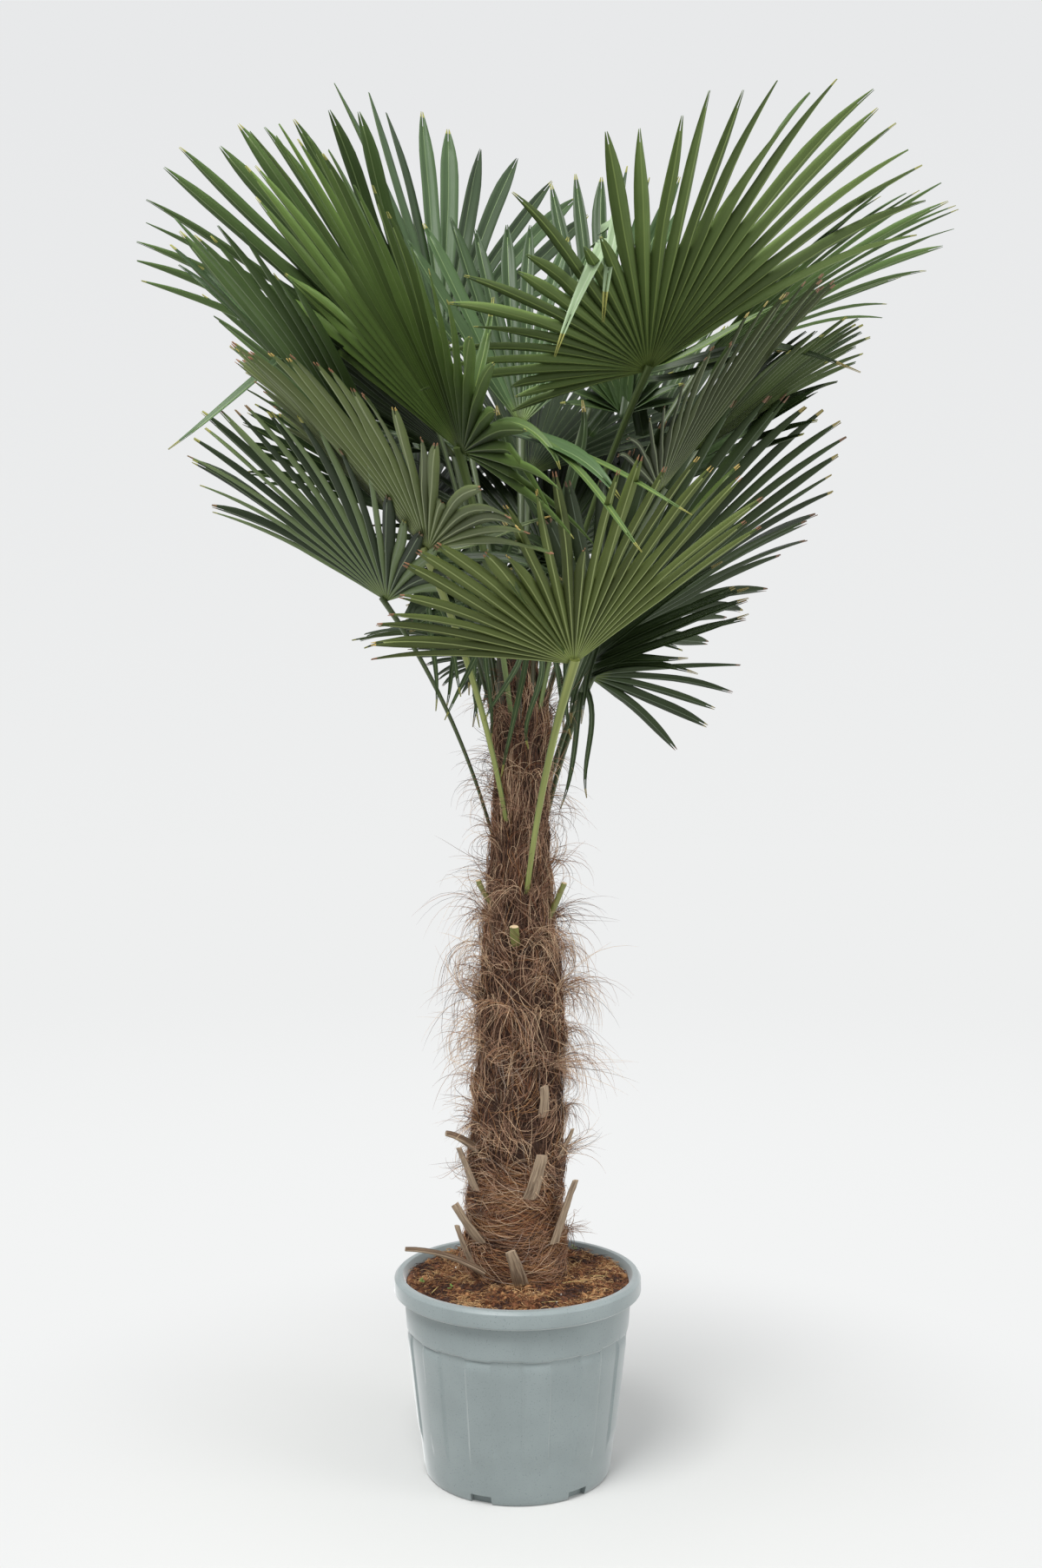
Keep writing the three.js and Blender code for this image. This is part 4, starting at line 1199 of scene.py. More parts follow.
def leaf_materials(kind):
    """Three tones of the upper side, rib and tips, then the same for the underside."""
    upper, under, rib, rib_under = LEAF_COLOURS[kind]
    colours = {"upper": (upper, rib), "under": (under, rib_under)}
    skins = []
    for side, (roughness, gloss) in SIDE_GLOSS.items():
        colour, rib_colour = colours[side]
        for k, factor in enumerate(TONE_STEPS):
            tone = PALE_FOLD if kind == "folded" and k == 2 else colour
            skins.append(leaf_skin(f"waxy_leaf_{kind}_{side}_{k}", tone, factor, roughness, gloss))
        skins.append(plain(f"leaf_rib_{kind}_{side}", rib_colour, 0.5))
        for word, tip_colour in zip(("yellow", "brown"), TIP_COLOURS.get(kind, PLAIN_TIPS)):
            skins.append(plain(f"leaf_tip_{word}_{kind}_{side}", tip_colour, 0.65))
    return skins


LEAF_SKINS = {kind: leaf_materials(kind) for kind in LEAF_COLOURS}
print(sum(len(skins) for skins in LEAF_SKINS.values()), "leaf materials")

# %% [markdown]
# ## How leaflets differ
# No two leaflets are alike. What the kinds share is in one table; what is special about single
# fans is in a few small ones, by the angle in the fan: where more of the sheet is whole, where
# leaflets are narrow and limp, where they are torn short or missing, and where they are broken.

# %% Habits of kinds and of single fans
# kind: where leaflets part, their width as a share of the pleat, and their shape
KINDS = {
    "front": ((0.38, 0.48), (0.74, 0.92), BLUNT),
    "side": ((0.38, 0.48), (0.74, 0.92), BLUNT),
    "shade": ((0.40, 0.50), (0.74, 0.94), BLUNT),
    "high": ((0.40, 0.52), (0.80, 0.97), SLENDER),
    "tall": ((0.42, 0.54), (0.82, 1.00), SLENDER),
    "blue": ((0.36, 0.48), (0.96, 1.16), LONG),
    "cool": ((0.36, 0.48), (0.96, 1.16), LONG),
    "dark": ((0.34, 0.46), (0.92, 1.10), BLUNT),
    "folded": ((0.28, 0.38), (1.22, 1.42), BLUNT),
    "rear": ((0.38, 0.50), (0.90, 1.06), BLUNT),
}
BROWN_TIPPED = ("front", "side", "shade", "dark", "folded")
BROWN_SHARE = 0.75                    # of the leaflets in those kinds
FOLDED_WIDTHS = (0.90, 1.22)          # of the pale and the dark leaflets in a folded fan
# fan: (from angle, to angle, how much more of the length is joined)
JOINED_FAR = {
    "left_top": (-90, 90, 0.10),
    "left_front": (-60, 30, 0.20),
    "right_front": (-20, 30, 0.12),
    "back_right_low": (-90, 90, -0.10),
    "left_top_front": (55, 110, 0.06),
}
# fan: (from angle, to angle, width, reach, more sag in degrees), for limp and narrow leaflets
LIMP = {
    "left_front": (36, 90, 1.30, 1.04, 8),
    "front_low": (-82, -18, 1.28, 1.00, 0),
    "right_front": (-90, -52, 0.55, 1.10, 10),
    "back_right_low": (-14, 90, 0.95, 1.00, -14),
    "right_top": (-90, 90, 0.62, 1.00, 10),
    "left_top": (-90, 90, 0.74, 1.00, 0),
    "left_top_front": (55, 110, 0.84, 1.04, 10),
    "right_low": (-90, 90, 1.20, 1.00, 0),
}
# fan: (from angle, to angle, reach), where a reach of 0 is a leaflet that is missing
SHORTENED = {
    "right_top_front": [(-104, -86, 0.64), (-67, -63, 0.8), (-49, -39, 0.76), (-32, -20, 0.64)],
    "front_low": [(-33, -25, 0.82), (-24, -19, 0.68), (-10, -6, 0.55), (1, 5, 0.6), (50, 64, 0.86)],
    "back_right_low": [(-30, -12, 0)],
    "left_low": [(72, 112, 0.85)],
    "left_top_front": [(-50, -28, 0.78), (72, 76, 0.72)],
    "left_front": [(54, 58, 0.5)],
}
# fan: (angle, share of the free part at the break, direction after it, reach)
BENDS = {
    "left_top_front": [(96, 0.25, (0.75, -0.2, -0.55), 0.9), (86, 0.5, (0.6, 0.0, -0.8), 0.9)],
}
BROKEN_SAG = 30                       # degrees
BEND_NEAR = 3.0                       # how near in degrees a leaflet must be to be the broken one
LONGEST_SPLIT = 0.85                  # of the leaflet's reach


def leaflet_habit(row, degrees, number):
    """How one leaflet grows: its split, length, sway, twist, sag, bend and tip."""
    draw = random.Random(f"{row['name']} {number}")
    splits, widths, shape = KINDS[row["kind"]]
    tip_material, tip_rows = TIP_YELLOW, draw.choice((0, 1))
    if row["kind"] in BROWN_TIPPED:
        tip_material = TIP_BROWN if draw.random() < BROWN_SHARE else TIP_YELLOW
        tip_rows = 1
    tone = UPPER + draw.randrange(len(TONE_STEPS))
    habit = {
        "tones": (tone, tone),
        "shape": shape,
        "split": draw.uniform(*splits),
        "reach": 1 + draw.uniform(-0.06, 0.03),
        "sway": math.radians(draw.gauss(0, 3.2)),
        "wave": math.radians(draw.gauss(0, 9)),
        "phase": draw.uniform(0, math.tau),
        "twist": math.radians(draw.gauss(0, 24)),
        "sag": math.radians(draw.uniform(-2, 20)),
        "width": draw.uniform(*widths),
        "bend": None,
        "tip": (tip_material, tip_rows),
    }
    if row["kind"] == "folded":
        dark = number % 2
        habit["tones"] = (UPPER, UPPER + 1) if dark else (UPPER + 2, UPPER + 2)
        habit["width"] *= FOLDED_WIDTHS[dark]
    low, high, more = JOINED_FAR.get(row["name"], (0, 0, 0))
    if low < degrees < high:
        habit["split"] += more
    for low, high, reach in SHORTENED.get(row["name"], ()):
        if low <= degrees <= high:
            habit["reach"] *= reach
    low, high, width, reach, sag = LIMP.get(row["name"], (0, 0, 1, 1, 0))
    if low < degrees < high:
        habit["width"] *= width
        habit["reach"] *= reach
        habit["sag"] += math.radians(sag)
    for angle, share, way, reach in BENDS.get(row["name"], ()):
        if abs(degrees - angle) <= BEND_NEAR:
            habit["bend"] = (share, Vector(way).normalized())
            habit["sag"] = math.radians(BROKEN_SAG)
            habit["reach"] = reach
    habit["split"] = max(0.1, min(habit["split"], habit["reach"] * LONGEST_SPLIT))
    return habit


# %% [markdown]
# ## Growing the crown
# The fans of one kind are one piece, which stands for their solid blades. A fan gets a leaflet
# for every few degrees of its spread, and fans with broad leaflets get fewer. Each leaflet
# draws its habit from a generator seeded with its own name and number, so changing one leaflet
# leaves all the others alone. The sheet is thickened by a Solidify modifier, with rims.

# %% Grow the fans
LEAFLET_ANGLE = 6.0                   # degrees of the fan that one leaflet takes
# the fans in which it takes more or less
LEAFLET_ANGLES = {
    "back_left_top": 7.6, "left_top": 5.5, "centre_young_left": 8.4, "centre_young_right": 8.4,
    "left_inner": 7.4, "left_middle": 6.8, "right_middle": 6.4, "back_middle": 6.6,
    "left_low": 6.2, "back_right_low": 9.0, "right_low": 6.2, "left_top_front": 5.6,
    "left_front": 4.7, "right_front": 5.0,
}
LEAF_THICKNESS = 0.8 * MM


def grow_fan(bm, uv, row):
    """Adds all the leaflets of one fan."""
    low, high = row["spread"]
    count = round(math.degrees(high - low) / LEAFLET_ANGLES.get(row["name"], LEAFLET_ANGLE))
    half = (high - low) / count / 2
    for k in range(count):
        angle = low + half * (2 * k + 1)
        habit = leaflet_habit(row, math.degrees(angle), k)
        if habit["reach"] > 0:
            lay_leaflet(bm, uv, leaflet_rows(row, angle, half, habit), habit)


def thicken(piece):
    """Gives leaves their thickness; the far side takes the materials of the underside."""
    sheet = piece.modifiers.new("both sides", "SOLIDIFY")
    sheet.thickness = LEAF_THICKNESS
    sheet.offset = 0
    sheet.material_offset = TIP_BROWN + 1
    sheet.use_rim = True


def fan_piece(kind):
    """All the fans of one kind as one piece, with both sides of the leaves."""
    rows = [row for row in FANS if row["kind"] == kind]
    bm = bmesh.new()
    uv = bm.loops.layers.uv.new("leaf")
    for row in rows:
        grow_fan(bm, uv, row)
    bmesh.ops.reverse_faces(bm, faces=bm.faces)
    piece = finish(f"fans_{kind}", mesh_of(bm, f"fans_{kind}"), LEAF_SKINS[kind],
                   [f"blade_{row['name']}" for row in rows])
    thicken(piece)


for kind in sorted({row["kind"] for row in FANS}):
    fan_piece(kind)

# %% [markdown]
# ## Leaflets out of order
# Some leaflets have come loose from the order of their fans: they curl out over the leaves in
# front, hang narrow and dry beside the trunk, or fill the dim inside of the crown, where their
# dark greens are painted shade. Bending a fan's own leaflet so far would tear it, so each of these
# is a ribbon along a curve through four points, placed one by one in a table.

# %% Where the loose leaflets are
CM = 10 * MM
# kind, half width in millimetres, four points of the middle line in centimetres
LOOSE_PLACES = [
    ("blue", 9, ((-39, -10, 210), (-46, -13, 203), (-54, -16, 195), (-62, -18, 188))),
    ("high", 9, ((-5, -27, 188), (-1, -31, 190), (4, -36, 186), (7, -40, 180))),
    ("dark", 8, ((14, 0, 156), (13, -1, 152), (11, -2, 147), (10, -2, 140))),
    ("dark", 7, ((16, 2, 158), (14, 1, 152), (13, 0, 148), (12, 0, 140))),
    ("high", 9, ((24, -6, 206), (32, -9, 208), (40, -11, 212), (49, -13, 216))),
    ("high", 9, ((24, -6, 206), (34, -9, 211), (42, -11, 216), (53, -13, 222))),
    ("dark", 9, ((24, -4, 204), (33, -6, 205), (41, -8, 207), (50, -9, 208))),
    ("dark", 12, ((15, 13, 154), (25, 9, 159), (35, 5, 163), (44, 2, 166))),
    ("dark", 12, ((15, 13, 153), (25, 9, 157), (35, 5, 161), (44, 2, 164))),
    ("dark", 11, ((15, 13, 151), (25, 9, 155), (35, 5, 158), (44, 2, 161))),
    ("dark", 10, ((15, 12, 154), (23, 8, 160), (31, 5, 166), (39, 2, 171))),
    ("blue", 15, ((0, -27, 189), (6, -36, 185), (11, -46, 180), (16, -52, 173))),
    ("high", 5, ((4, -30, 187), (13, -46, 180), (19, -62, 173), (25, -72, 167))),
    ("high", 6, ((2, -30, 188), (9, -44, 180), (14, -60, 170), (18, -70, 162))),
    ("rear", 5, ((-5, -16, 157), (-7, -18, 152), (-10, -18, 146), (-13, -17, 140))),
    ("rear", 5, ((-14, -20, 160), (-12, -21, 155), (-11, -21, 150), (-10, -20, 144))),
    ("rear", 5, ((1, -12, 155), (0, -14, 150), (-3, -15, 145), (-6, -14, 140))),
    ("rear", 5, ((2, -10, 155), (1, -12, 148), (-1, -12, 139), (-3, -11, 130))),
    ("rear", 5, ((4, -8, 154), (4, -10, 147), (2, -11, 141), (2, -10, 135))),
    ("pale", 14, ((14, -31, 222), (17, -35, 223), (16, -38, 219), (14, -40, 204))),
    ("pale", 12, ((13, -33, 219), (14, -38, 217), (11, -42, 210), (6, -45, 197))),
    ("high", 13, ((-9, -26, 185), (-8, -33, 192), (-6, -35, 199), (-4, -34, 210))),
    ("dark", 13, ((24, -2, 206), (38, -8, 208), (48, -11, 208), (62, -13, 203))),
    ("rear", 5, ((-16, -8, 164), (-16, -10, 157), (-15, -10, 150), (-15, -9, 142))),
    ("rear", 5, ((-10, -6, 162), (-8, -8, 155), (-8, -9, 148), (-7, -8, 139))),
    ("rear", 4, ((-6, -4, 160), (-6, -7, 152), (-5, -8, 144), (-5, -7, 136))),
    ("dark", 6, ((-12, -2, 170), (-10, -7, 162), (-9, -8, 154), (-9, -7, 145))),
    ("dark", 6, ((2, -3, 164), (5, -8, 158), (7, -9, 151), (8, -8, 142))),
    ("dark", 5, ((8, 1, 160), (9, -3, 153), (9, -4, 145), (10, -4, 137))),
    ("dark", 6, ((6, 8, 157), (8, 15, 151), (9, 17, 146), (9, 17, 139))),
    ("dark", 6, ((-5, 9, 159), (-7, 15, 153), (-8, 17, 147), (-9, 16, 140))),
    ("rear", 6, ((0, 10, 156), (0, 16, 149), (1, 18, 141), (2, 17, 131))),
    ("rear", 5, ((-9, 4, 161), (-12, 7, 155), (-13, 8, 149), (-14, 8, 143))),
    ("dark", 12, ((-14, -15, 169), (-6, -17, 169), (1, -18, 168), (8, -17, 165))),
    ("dark", 12, ((-12, -10, 167), (-6, -12, 165), (1, -13, 162), (6, -12, 159))),
    ("dark", 12, ((7, -5, 171), (2, -8, 174), (-3, -10, 175), (-9, -10, 177))),
    ("dark", 12, ((5, -2, 178), (1, -3, 185), (-2, -4, 192), (-4, -5, 199))),
    ("dark", 12, ((9, -2, 178), (10, -3, 185), (12, -4, 192), (12, -5, 200))),
    ("rear", 13, ((25, 12, 203), (27, 14, 208), (30, 16, 215), (34, 17, 222))),
    ("rear", 13, ((28, 12, 202), (31, 14, 208), (35, 15, 214), (40, 16, 221))),
    ("dark", 12, ((21, 10, 200), (22, 12, 206), (23, 14, 213), (24, 15, 221))),
    ("dark", 12, ((-6, -5, 155), (-11, -7, 159), (-15, -8, 163), (-20, -8, 166))),
    ("rear", 11, ((-5, -2, 157), (-8, -3, 162), (-11, -4, 166), (-15, -5, 171))),
    ("dark", 11, ((1, -2, 156), (-1, -3, 162), (-3, -5, 167), (-6, -6, 172))),
    ("rear", 10, ((-6, 0, 153), (-11, -2, 155), (-16, -3, 157), (-22, -3, 158))),
    ("front", 14, ((8, -37, 151), (4, -42, 155), (1, -47, 158), (-2, -50, 162))),
    ("side", 8, ((-14, -26, 169), (-7, -27, 170), (-1, -29, 172), (6, -31, 174))),
    ("dark", 5, ((13, 2, 147), (14, 0, 140), (13, -1, 133), (13, -1, 126))),
    ("dark", 5, ((12, 0, 146), (11, -2, 138), (10, -3, 131), (8, -3, 124))),
    ("rear", 16, ((14, 15, 198), (18, 15, 203), (22, 15, 208), (27, 15, 214))),
    ("dark", 15, ((25, 15, 198), (24, 16, 204), (23, 16, 210), (22, 16, 215))),
    ("dark", 14, ((-4, 5, 164), (1, 5, 168), (6, 5, 171), (11, 5, 172))),
    ("rear", 13, ((2, 5, 162), (3, 6, 168), (4, 6, 172), (5, 6, 178))),
    ("dark", 13, ((-4, -4, 165), (1, -5, 169), (6, -5, 173), (11, -4, 176))),
    ("dark", 13, ((7, -2, 163), (5, -3, 168), (1, -4, 173), (-3, -4, 178))),
    ("dark", 11, ((-19, -6, 159), (-17, -7, 161), (-14, -8, 163), (-12, -9, 165))),
    ("dark", 11, ((-19, -5, 159), (-18, -5, 162), (-16, -5, 165), (-14, -5, 167))),
    ("dark", 12, ((-20, -4, 160), (-19, -4, 162), (-18, -4, 165), (-18, -4, 169))),
    ("rear", 11, ((-19, -7, 158), (-15, -8, 160), (-12, -9, 161), (-8, -10, 162))),
    ("dark", 12, ((14, 13, 151), (20, 11, 153), (26, 9, 153), (33, 7, 153))),
    ("dark", 11, ((14, 13, 150), (20, 12, 152), (27, 10, 152), (35, 8, 150))),
]
LOOSE = [(kind, half_width * MM, [Vector(point) * CM for point in points])
         for kind, half_width, points in LOOSE_PLACES]
print(len(LOOSE), "loose leaflets")

# %% [markdown]
# Deep in the crown small young fans are opening, of which only parts show between the others.
# Their leaflets stand like the spokes of a wheel, each second one a little farther forward, and
# sag a little at the tip, so they are worked out by a loop and join the list of ribbons.

# %% Young fans inside the crown
# kind, root in centimetres, from angle, to angle and step in degrees from level, leaflet length
# their dark and rear greens are painted shade of the crown's inside
INNER_FANS = [
    ("dark", (7, -5, 170), 95, 330, 18, 0.088),
    ("dark", (-13, 2, 169), -20, 200, 18, 0.090),
    ("rear", (21, 12, 202), 15, 170, 14, 0.130),
    ("dark", (-6, 15, 165), -20, 205, 18, 0.160),
]
INNER_FORWARD = (0.12, 0.22)          # of even and odd leaflets, as shares of their length
INNER_SAG = 0.12
INNER_WIDTH = 0.1                     # half width, as a share of the length


def young_leaflet(root, angle, forward, length):
    """Four points along one leaflet of a young fan."""
    way = Vector((math.cos(angle), -forward, math.sin(angle)))
    shares = (0, 1 / 3, 2 / 3, 1)
    return [root + (way * share + DOWN * (INNER_SAG * share * share)) * length for share in shares]


for kind, root, low, high, step, length in INNER_FANS:
    for number, degrees in enumerate(range(low, high, step)):
        forward = INNER_FORWARD[number % 2]
        points = young_leaflet(Vector(root) * CM, math.radians(degrees), forward, length)
        LOOSE.append((kind, INNER_WIDTH * length, points))
print(len(LOOSE), "with those of the young fans")

# %% [markdown]
# A ribbon is shaped across like any other leaflet, from the same outline and the same grid. Its
# flat side has to face some way: most leaves turn theirs to the light, here forwards and up.

# %% Loose leaflets
LOOSE_STEPS = 12
LOOSE_FACING = Vector((-0.1, -0.8, 0.6))
LOOSE_ALONG = (0.3, 0.6)              # metres along a leaf, where the veins are taken from


def curve_point(points, t):
    """A point of the cubic curve that passes through four evenly spaced points."""
    result = Vector()
    for k, point in enumerate(points):
        weight = 1.0
        for other in range(4):
            if other != k:
                weight *= (3 * t - other) / (k - other)
        result += Vector(point) * weight
    return result


def loose_rows(points, half_width):
    """Where each row of a loose leaflet's grid lies, and how wide it is there."""
    rows = []
    for step in range(LOOSE_STEPS + 1):
        t = step / LOOSE_STEPS
        way = (curve_point(points, t + NEARBY) - curve_point(points, t - NEARBY)).normalized()
        across = way.cross(LOOSE_FACING).normalized()
        grown = RELAXED_BY + (1 - RELAXED_BY) * t
        outer, inner = leaflet_outline(grown, half_width / (1 + RELAXED), LONG)
        along = LOOSE_ALONG[0] + (LOOSE_ALONG[1] - LOOSE_ALONG[0]) * t
        rows.append({"t": grown, "point": curve_point(points, t), "across": across,
                     "out": across.cross(way), "outer": outer, "inner": inner, "along": along})
    return rows


def loose_piece(kind):
    """The loose leaflets of one kind as one piece."""
    bm = bmesh.new()
    uv = bm.loops.layers.uv.new("leaf")
    for row_kind, half_width, points in LOOSE:
        if row_kind == kind:
            habit = {"tones": (UPPER + 2, UPPER + 2), "tip": (TIP_YELLOW, 1)}
            lay_leaflet(bm, uv, loose_rows(points, half_width), habit)
    piece = finish(f"loose_{kind}", mesh_of(bm, f"loose_{kind}"), LEAF_SKINS[kind])
    thicken(piece)


for kind in sorted({kind for kind, _, _ in LOOSE}):
    loose_piece(kind)

# %% [markdown]
# ## The petioles
# Each fan stands on a stalk that leaves the trunk almost upright and then arches out. It is
# flatter above than below and a little wider than high. A curve with a bevel could make it, but
# a grid rolled along the arch also gives each point its place in the stalk's own grain, which
# the streaks follow.

# %% The arch and section of a limb
PETIOLE_RADII = ((0, 0.25, 0.75, 1.0), (4.8 * MM, 5.4 * MM, 7.0 * MM, 9.0 * MM))
PETIOLE_SEAT = 3.1 * MM               # how far the stalk's middle lies under the blade
BEND_OUT = 0.3                        # the arch bends at this share of the way out
BEND_UP = 0.53                        # and this share of the way up
FOOT_DEPTH = 34 * MM                  # how deep a stalk goes into the trunk's mat
TIP_REACH = 12 * MM                   # how far it runs under the blade
TOP_FLATTER = 0.6
GRAIN_SHIFT = 9                       # moves the grain along from limb to limb, by foot height


def arch(row):
    """Foot, middle and tip of a petiole's arch, and the level direction across it."""
    axis, _, face = row["frame"]
    tip = row["root"] + axis * TIP_REACH - face * PETIOLE_SEAT
    radius, lean = (float(value) for value in trunk_axis(row["foot"]))
    away = Vector((tip.x - lean, tip.y, 0)).normalized()
    foot = Vector((lean, 0, row["foot"])) + away * radius
    middle = foot.lerp(tip, BEND_OUT)
    middle.z = foot.z + (tip.z - foot.z) * BEND_UP
    foot = foot + (foot - middle).normalized() * FOOT_DEPTH
    return foot, middle, tip, UP.cross(away)


def add_limb(bm, foot, middle, tip, across, radii, width, flatness, sides=12, steps=22):
    """A limb of flattened round section along an arch from foot to tip."""
    def place(turn, share):
        point = foot.lerp(middle, share).lerp(middle.lerp(tip, share), share)
        way = (middle.lerp(tip, share) - foot.lerp(middle, share)).normalized()
        level = (across - way * across.dot(way)).normalized()
        above = level.cross(way)
        radius = float(np.interp(share, *radii))
        height = math.sin(turn) * flatness * (TOP_FLATTER if math.sin(turn) > 0 else 1.0)
        return point + level * (math.cos(turn) * radius * width) + above * (height * radius)

    def grain(turn, share):
        radius = float(np.interp(share, *radii))
        along = foot.z * GRAIN_SHIFT + share * (tip - foot).length
        return level_way(turn) * radius + UP * along

    return roll_tube(bm, sides, steps, place, grain)


def paint_faces(verts, material):
    """Gives a material to all the faces of some points, and returns the faces."""
    faces = {face for vert in verts for face in vert.link_faces}
    for face in faces:
        face.material_index = material
    return faces


# %% [markdown]
# A living stalk is smooth and satin, streaked lengthwise with a second green. Its light and shade
# are painted: those that stand in the light are painted a lit yellow green, with painted shade on
# their outer flanks, and those behind are painted darker, as shade. Round the top of the trunk the
# broad bases of inner stalks hug one another, brown green and half hidden.

# %% Petioles and stalk bases
PAINTED_LIT, PAINTED_HALF_SHADE, SHADED, BASE, PAINTED_SHADE_FLANK = range(5)
# these stalks are painted as lit or half shaded; all the others take the painted shade of SHADED
PETIOLE_PAINTED_LIGHT = {"front_low": PAINTED_LIT, "left_front": PAINTED_LIT,
                 "right_top_front": PAINTED_HALF_SHADE, "left_top_front": PAINTED_HALF_SHADE}
PETIOLE_SECTION = (1.05, 0.8)         # width and height, as shares of twice the radius
# the outer flank of a lit stalk takes painted shade where its faces turn this far sideways
FLANK_TURN = 0.35                     # how far a face has to look sideways to be on a flank
STREAK_SIZE = (6.67 * MM, 6.67 * MM, 250 * MM)
# the four petiole greens are one stalk green painted lit, half shaded, shaded and as a shaded flank
# name, dark and light green, in the order of the numbers above
STALK_GREENS = [("petiole_painted_lit", "#6f7936", "#979f5a"), ("petiole_painted_half_shade", "#46572d", "#6a7a45"),
                ("petiole_painted_shade", "#343f24", "#53613a"), ("stalk_base", "#241b10", "#45461f"),
                ("petiole_painted_shade_flank", "#4b5a28", "#6f7a3f")]
SHEATH_COUNT = 12
SHEATH_FOOT = (1.28, 1.38)            # heights between which the bases start
SHEATH_TIP = (1.52, 1.68)             # and end
SHEATH_SECTION = (1.1, 0.55)
SHEATH_SUNK = (22 * MM, 30 * MM)      # how far a base starts inside the trunk, and below
SHEATH_OUT = (28 * MM, 65 * MM)
SHEATH_BOW = 6 * MM
SHEATH_SWAY = 30 * MM                 # how far a base's tip may lie to one side


def add_sheaths(bm):
    """Upright stalk bases round the top of the trunk, each with its own lean."""
    for k in range(SHEATH_COUNT):
        draw = random.Random(f"sheath {k}")
        away = level_way((k + draw.uniform(-0.3, 0.3)) * math.tau / SHEATH_COUNT)
        low, high = draw.uniform(*SHEATH_FOOT), draw.uniform(*SHEATH_TIP)
        radius, lean = (float(value) for value in trunk_axis(low))
        foot = Vector((lean, 0, low - SHEATH_SUNK[1])) + away * (radius - SHEATH_SUNK[0])
        tip = Vector((lean, 0, high)) + away * draw.uniform(*SHEATH_OUT)
        tip += UP.cross(away) * draw.uniform(-SHEATH_SWAY, SHEATH_SWAY)
        middle = foot.lerp(tip, 0.5) + away * SHEATH_BOW
        wide = draw.uniform(6, 10) * MM
        radii = ((0, 1), (wide, wide / 2))
        made = add_limb(bm, foot, middle, tip, UP.cross(away), radii, *SHEATH_SECTION)
        paint_faces(made, BASE)


def petiole_piece():
    """All the petioles and the stalk bases as one piece."""
    bm = bmesh.new()
    bm.verts.layers.float_vector.new("grain")
    add_sheaths(bm)
    for row in FANS:
        foot, middle, tip, across = arch(row)
        made = add_limb(bm, foot, middle, tip, across, PETIOLE_RADII, *PETIOLE_SECTION)
        tone = PETIOLE_PAINTED_LIGHT.get(row["name"], SHADED)
        for face in paint_faces(made, tone):
            face.normal_update()
            outer = face.calc_center_median().x * face.normal.x > 0
            # the outer flanks of the lit stalks are painted darker, as painted shade
            if tone == PAINTED_LIT and outer and abs(face.normal.x) > FLANK_TURN:
                face.material_index = PAINTED_SHADE_FLANK
    close_ends(bm)
    greens = [two_toned(name, dark, light, STREAK_SIZE, detail=2.0, fade=(0.25, 0.75),
                        roughness=0.45, grain=True) for name, dark, light in STALK_GREENS]
    finish("petioles", mesh_of(bm, "petioles"), greens,
           [f"petiole_{row['name']}" for row in FANS], smooth_angle=50)


petiole_piece()

# %% [markdown]
# ## Stubs of old leaves
# Where a leaf was cut, a piece of its stalk stays. The low ones are grey, dry and cracked, and
# two have split into flat boards; three higher ones are still green with a pale cut face. They
# are limbs like the petioles, with the cut left square. Six small ones, whose names start with
# extra, stand for no solid of their own and make the foot of the trunk rough on all sides.

# %% The table of stubs
# name, height of the foot, bearing, reach outwards, sideways and up, bow outwards and up,
# radii at foot and tip, kind
STUBS = [
    ("stub_long_left", 0.386, -125, (0.104, 0.093, 0.056), (0.000, 0.022), (0.0115, 0.0070), "board"),
    ("stub_front_low", 0.372, -83, (0.026, 0.024, 0.072), (0.010, 0.006), (0.011, 0.007), "grey"),
    ("stub_left_low", 0.440, -133, (0.026, 0.030, 0.072), (0.016, 0.014), (0.012, 0.008), "grey"),
    ("stub_left", 0.532, -145, (0.022, 0.010, 0.080), (0.004, 0.008), (0.011, 0.007), "grey"),
    ("stub_left_high", 0.605, -150, (0.050, 0.010, 0.034), (0.010, 0.014), (0.014, 0.009), "board"),
    ("stub_front", 0.525, -73, (0.022, -0.013, 0.086), (0.006, 0.000), (0.011, 0.008), "grey"),
    ("stub_right_low", 0.436, -38, (0.032, -0.008, 0.120), (0.000, 0.004), (0.011, 0.007), "grey"),
    ("stub_right", 0.588, -25, (0.018, 0.000, 0.056), (0.004, 0.004), (0.010, 0.006), "grey"),
    ("extra_front", 0.672, -57, (0.018, 0.016, 0.062), (0.006, 0.000), (0.0085, 0.0065), "grey"),
    ("extra_left", 0.690, 128, (0.018, 0.004, 0.056), (0.004, 0.000), (0.010, 0.007), "grey"),
    ("extra_left_low", 0.395, -143, (0.018, 0.012, 0.075), (0.004, 0.000), (0.009, 0.006), "grey"),
    ("extra_back_low", 0.410, 100, (0.026, 0.010, 0.085), (0.006, 0.006), (0.011, 0.007), "grey"),
    ("extra_back", 0.560, 65, (0.022, -0.006, 0.070), (0.006, 0.004), (0.010, 0.007), "grey"),
    ("extra_back_left", 0.650, 140, (0.030, 0.008, 0.050), (0.008, 0.008), (0.010, 0.006), "grey"),
    ("stub_cut_front", 0.985, -96, (0.024, 0.000, 0.040), (0.004, 0.000), (0.0080, 0.0075), "green"),
    ("stub_cut_right", 1.035, -20, (0.022, 0.004, 0.066), (0.002, 0.000), (0.0080, 0.0075), "green"),
    ("stub_cut_left", 1.058, -155, (0.018, 0.000, 0.048), (0.002, 0.000), (0.0075, 0.0070), "green"),
]
STUB_SECTIONS = {"grey": (1.35, 0.5), "board": (0.62, 0.72), "green": (1.1, 0.8)}
STUB_DEPTH = 10 * MM                  # how deep a stub stands in the mat
STUB_GRAIN = 90                       # dents of its skin, a metre
STUB_DENT = 1.2 * MM
print(len(STUBS), "stubs")

